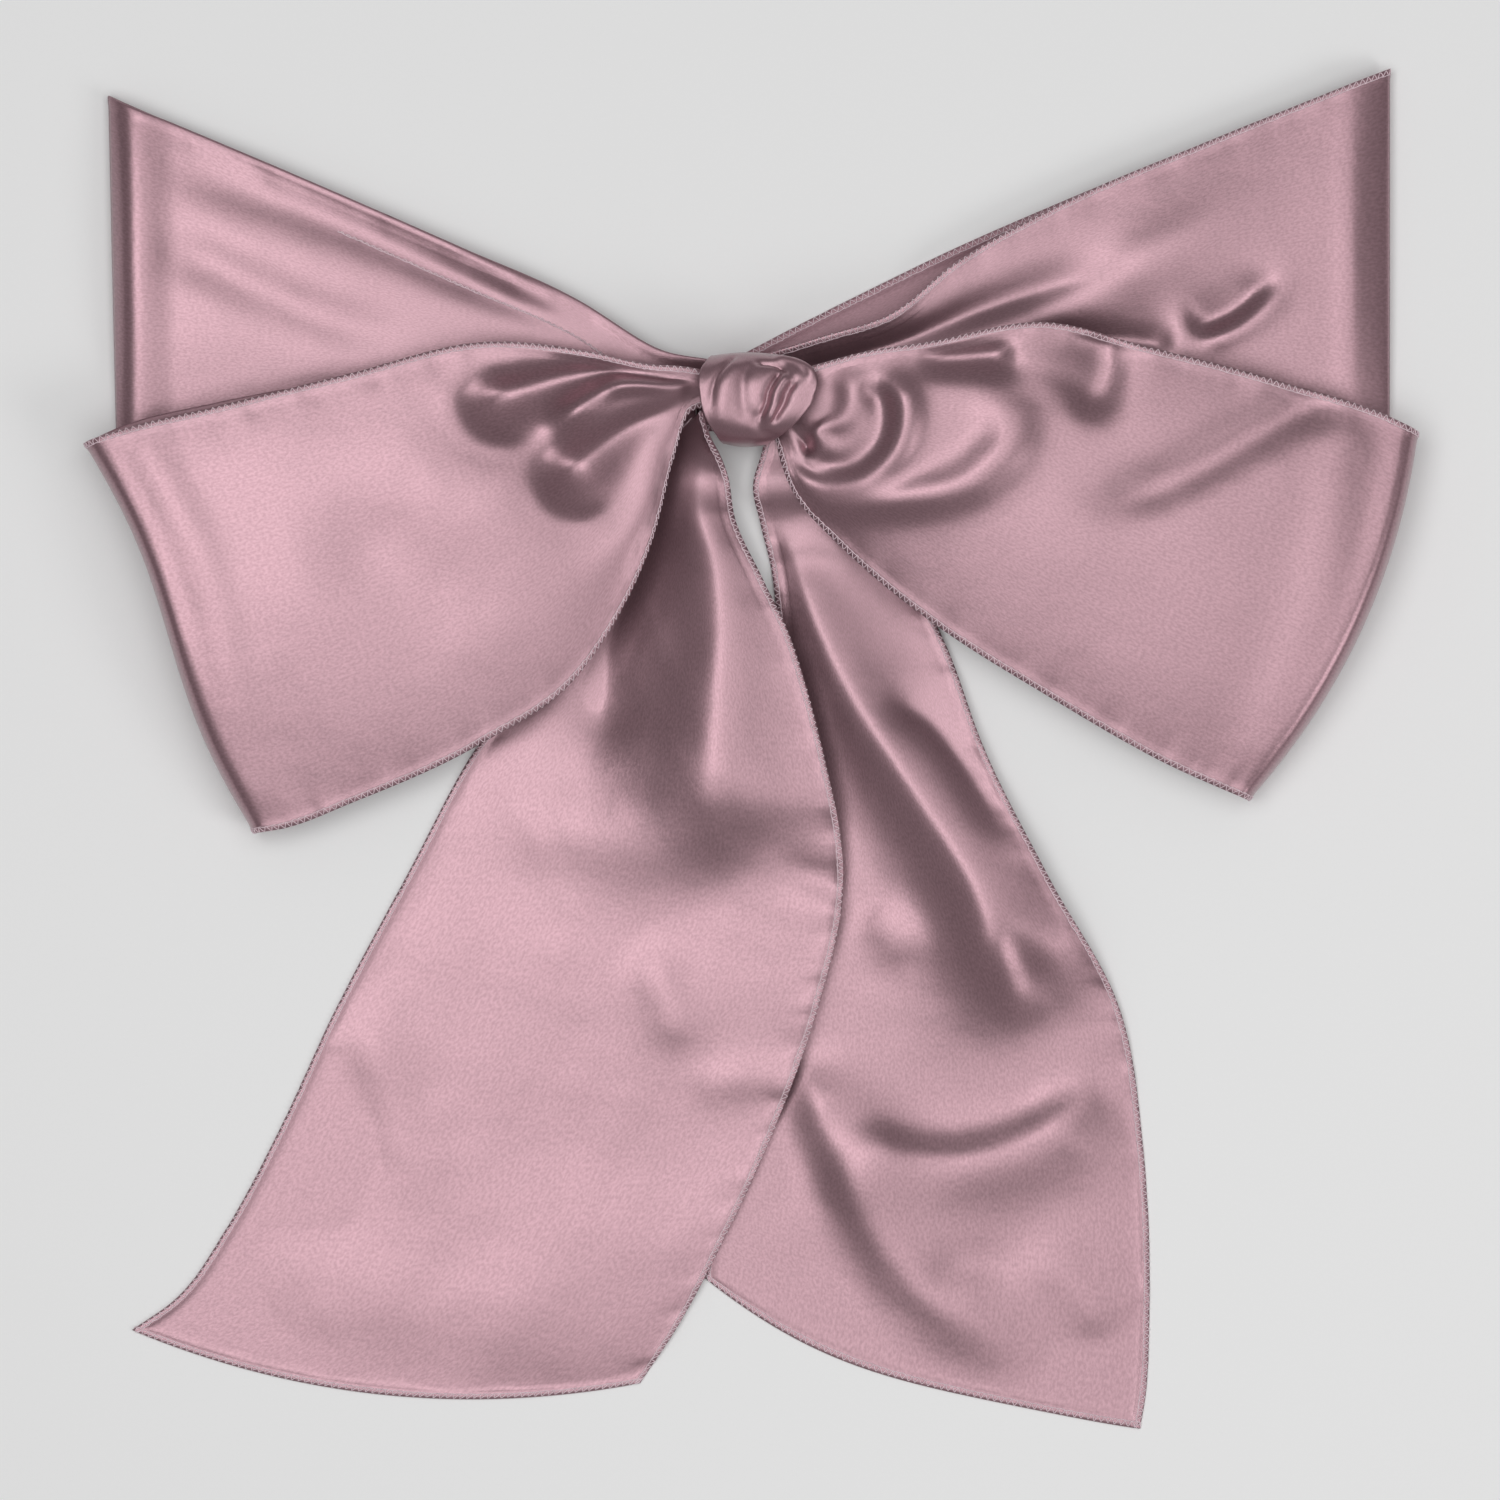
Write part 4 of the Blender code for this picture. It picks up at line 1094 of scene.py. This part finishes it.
def knot_wrap_points():
    """The middle surface of the band round the knot."""
    rings = []
    for i in range(WRAP_AROUND):
        angle = LOWEST + 360 * i / WRAP_AROUND
        left, right, proud = wrap_edges(angle)
        turn = radians(angle)
        share = np.linspace(0.0, 1.0, WRAP_ACROSS + 1)
        x = left + (right - left) * share
        belly = proud + KNOT_BELLY * (1 - (2 * share - 1) ** 2) - KNOT_WALL
        if sin(turn) > 0:
            y = KNOT_Y + KNOT_RADIUS_Y * cos(turn) + 0 * x
            for fold in WRAP_FOLDS:
                belly = belly + fold_height(fold, x, y) * smooth(sin(turn) / KNOT_FADE)
        rings.append(
            np.stack(
                [
                    x,
                    KNOT_Y + (KNOT_RADIUS_Y + belly) * flattened(cos(turn), sin(turn)),
                    KNOT_Z + (KNOT_RADIUS_Z + belly) * flattened(sin(turn), sin(turn)),
                ],
                axis=-1,
            )
        )
    return np.array(rings)


def knot_core_object():
    """The gathered layers inside the knot, seen at its two open sides as fine pleats."""
    radius_y = KNOT_RADIUS_Y - 2 * KNOT_WALL - CORE_GAP
    radius_z = KNOT_RADIUS_Z - 2 * KNOT_WALL - CORE_GAP
    corners, faces = [], []
    for side, end in ((-1, CORE_LEFT), (1, CORE_RIGHT)):
        for ring in range(CORE_RINGS):
            share = 1 - ring / CORE_RINGS
            for i in range(CORE_AROUND):
                angle = LOWEST + 360 * i / CORE_AROUND
                turn = radians(angle)
                left, right, _ = wrap_edges(angle)
                rim = max(end, left + CORE_INSET) if side < 0 else min(end, right - CORE_INSET)
                pleat = sum(sin(count * turn + lean * share) * deep for count, lean, deep in CORE_PLEATS)
                depth = PLEAT_DEPTH * (pleat - PLEAT_LEVEL) * (1 - share**6)
                corners.append(
                    (
                        (rim + side * depth) * MM,
                        (KNOT_Y + radius_y * share * cos(turn)) * MM,
                        (KNOT_Z + radius_z * share * sin(turn)) * MM,
                    )
                )
        corners.append(((end - side * CORE_DIMPLE) * MM, KNOT_Y * MM, KNOT_Z * MM))
    half = CORE_RINGS * CORE_AROUND + 1
    for base, flip in ((0, True), (half, False)):
        for ring in range(CORE_RINGS - 1):
            for i in range(CORE_AROUND):
                k = (i + 1) % CORE_AROUND
                low, high = base + ring * CORE_AROUND, base + (ring + 1) * CORE_AROUND
                quad = (low + i, low + k, high + k, high + i)
                faces.append(quad[::-1] if flip else quad)
        last = base + (CORE_RINGS - 1) * CORE_AROUND
        for i in range(CORE_AROUND):
            k = (i + 1) % CORE_AROUND
            corner = (last + i, last + k, base + half - 1)
            faces.append(corner[::-1] if flip else corner)
    for i in range(CORE_AROUND):
        k = (i + 1) % CORE_AROUND
        faces.append((i, k, half + k, half + i))
    mesh = bpy.data.meshes.new("knot_core_cloth")
    mesh.from_pydata(corners, [], faces)
    mesh.shade_smooth()
    layer = mesh.uv_layers.new(name=UV_NAME)
    for loop in mesh.loops:
        place = mesh.vertices[loop.vertex_index].co
        layer.data[loop.index].uv = (place.y, place.z)
    side = mesh.attributes.new(RIGHT_SIDE, "FLOAT", "POINT")
    side.data.foreach_set("value", np.ones(len(mesh.vertices), dtype=np.float32))
    return linked("knot_core_cloth", mesh)


class SASH_OT_loops(bpy.types.Operator):
    """Makes the two hollow loops of the bow."""

    bl_idname = "sash.loops"
    bl_label = "Loops"

    def execute(self, context):
        make_sheets(LOOPS, context.scene, held="gathered", rests_on=["knot_core"])
        return {"FINISHED"}


class SASH_OT_wings(bpy.types.Operator):
    """Makes the two wings behind the loops, and the band that joins them behind the knot."""

    bl_idname = "sash.wings"
    bl_label = "Wings"

    def execute(self, context):
        make_sheets(WINGS, context.scene, held="laid")
        return {"FINISHED"}


class SASH_OT_tails(bpy.types.Operator):
    """Makes the two tails with their slanted ends."""

    bl_idname = "sash.tails"
    bl_label = "Tails"

    def execute(self, context):
        make_sheets(TAILS, context.scene, held="laid")
        return {"FINISHED"}


class SASH_OT_knot(bpy.types.Operator):
    """Makes the band round the knot, and the gathered layers inside it."""

    bl_idname = "sash.knot"
    bl_label = "Knot"

    def execute(self, context):
        cloth = context.scene.sash_cloth
        points = knot_wrap_points()
        normals = surface_normals(points, closed=True)
        centre = np.array([0.0, KNOT_Y, KNOT_Z])
        outward = points - centre
        outward[..., 0] = 0.0
        if (normals * outward).sum(axis=-1).mean() < 0:
            normals = -normals
        thick = np.full(points.shape[:2], cloth.thickness / MM)
        thick[:, :2] = thick[:, -2:] = cloth.thickness / MM * RIM_SHARE
        steps = np.linalg.norm(np.diff(points, axis=0, append=points[:1]), axis=-1).mean(axis=1)
        along = np.repeat(np.cumsum(steps)[:, None], points.shape[1], axis=1)
        across = np.repeat(np.linspace(0.0, cloth.width / MM, points.shape[1])[None, :], len(points), 0)
        wrap = shell_object("knot_wrap_cloth", points, normals, thick, along, across, closed=True)
        wrap.data.materials.append(satin(cloth))
        fitted(wrap, "knot_wrap")
        core = knot_core_object()
        core.data.materials.append(satin(cloth))
        fitted(core, "knot_core")
        return {"FINISHED"}


class SASH_OT_stitching(bpy.types.Operator):
    """Makes the overlocked edges of every stretch."""

    bl_idname = "sash.stitching"
    bl_label = "Stitching"

    def execute(self, context):
        stitch = context.scene.sash_stitch
        tree, inputs = overlock_tree()
        for stretch in LOOPS + WINGS + TAILS:
            name = stretch.node + "_stitches"
            fitted(stitched(name, GUIDES[stretch.node], tree, inputs, stitch))
        line = GUIDES[TURNED_HEM]
        fitted(stitched("turned_hem_stitches", line, tree, inputs, stitch, TURNED_HEM_WIDTH))
        return {"FINISHED"}


def area_light(light, power):
    """A square light that faces the middle of the bow."""
    lamp = bpy.data.lights.new(light.name, "AREA")
    lamp.shape = "RECTANGLE"
    lamp.size = lamp.size_y = light.size
    lamp.energy = power
    made = linked(light.name, lamp)
    made.location = light.place
    made.rotation_euler = (-Vector(light.place)).to_track_quat("-Z", "Y").to_euler()


class SASH_OT_stage(bpy.types.Operator):
    """Makes the pale floor, the soft studio lights and the camera overhead."""

    bl_idname = "sash.stage"
    bl_label = "Stage"

    def execute(self, context):
        scene = context.scene
        stage = scene.sash_stage
        mesh = bpy.data.meshes.new("floor")
        corners = [(-1, -1), (1, -1), (1, 1), (-1, 1)]
        mesh.from_pydata(
            [(x * FLOOR_HALF, y * FLOOR_HALF, -FLOOR_DROP) for x, y in corners], [], [(0, 1, 2, 3)]
        )
        mesh.materials.append(floor_finish(stage))
        linked("floor", mesh)
        for light in LIGHTS:
            area_light(light, getattr(stage, light.power))
        world = bpy.data.worlds.new("surroundings")
        world.use_nodes = True
        background = world.node_tree.nodes["Background"]
        background.inputs["Color"].default_value = (1, 1, 1, 1)
        background.inputs["Strength"].default_value = stage.sky
        scene.world = world
        camera = bpy.data.cameras.new("camera")
        camera.lens, camera.sensor_width = CAMERA_LENS, CAMERA_SENSOR
        made = linked("camera", camera)
        made.location = (*SEEN_CENTRE, SEEN_WIDTH * CAMERA_LENS / CAMERA_SENSOR)
        scene.camera = made
        scene.view_settings.view_transform = "Standard"
        return {"FINISHED"}


class SASH_PT_panel(bpy.types.Panel):
    """Lists the steps that make the sash."""

    bl_idname = "SASH_PT_panel"
    bl_label = "Chair Sash"
    bl_space_type = "VIEW_3D"
    bl_region_type = "UI"
    bl_category = "Sash"

    def draw(self, context):
        layout = self.layout
        for settings in (
            context.scene.sash_cloth, context.scene.sash_stitch, context.scene.sash_stage
        ):
            box = layout.box()
            for name in settings.bl_rna.properties.keys():
                if name not in ("rna_type", "name"):
                    box.prop(settings, name)
        for operator in OPERATORS:
            layout.operator(operator.bl_idname)


SETTINGS = (
    ("sash_cloth", SashClothSettings),
    ("sash_stitch", SashStitchSettings),
    ("sash_stage", SashStageSettings),
)
OPERATORS = (
    SASH_OT_loops, SASH_OT_wings, SASH_OT_tails, SASH_OT_knot, SASH_OT_stitching, SASH_OT_stage
)


def register():
    for name, group in SETTINGS:
        bpy.utils.register_class(group)
        setattr(bpy.types.Scene, name, bpy.props.PointerProperty(type=group))
    for operator in OPERATORS:
        bpy.utils.register_class(operator)
    bpy.utils.register_class(SASH_PT_panel)


def unregister():
    bpy.utils.unregister_class(SASH_PT_panel)
    for operator in reversed(OPERATORS):
        bpy.utils.unregister_class(operator)
    for name, group in reversed(SETTINGS):
        delattr(bpy.types.Scene, name)
        bpy.utils.unregister_class(group)


def main():
    register()
    bpy.ops.sash.loops()
    bpy.ops.sash.wings()
    bpy.ops.sash.tails()
    bpy.ops.sash.knot()
    bpy.ops.sash.stitching()
    bpy.ops.sash.stage()


if __name__ == "__main__":
    main()
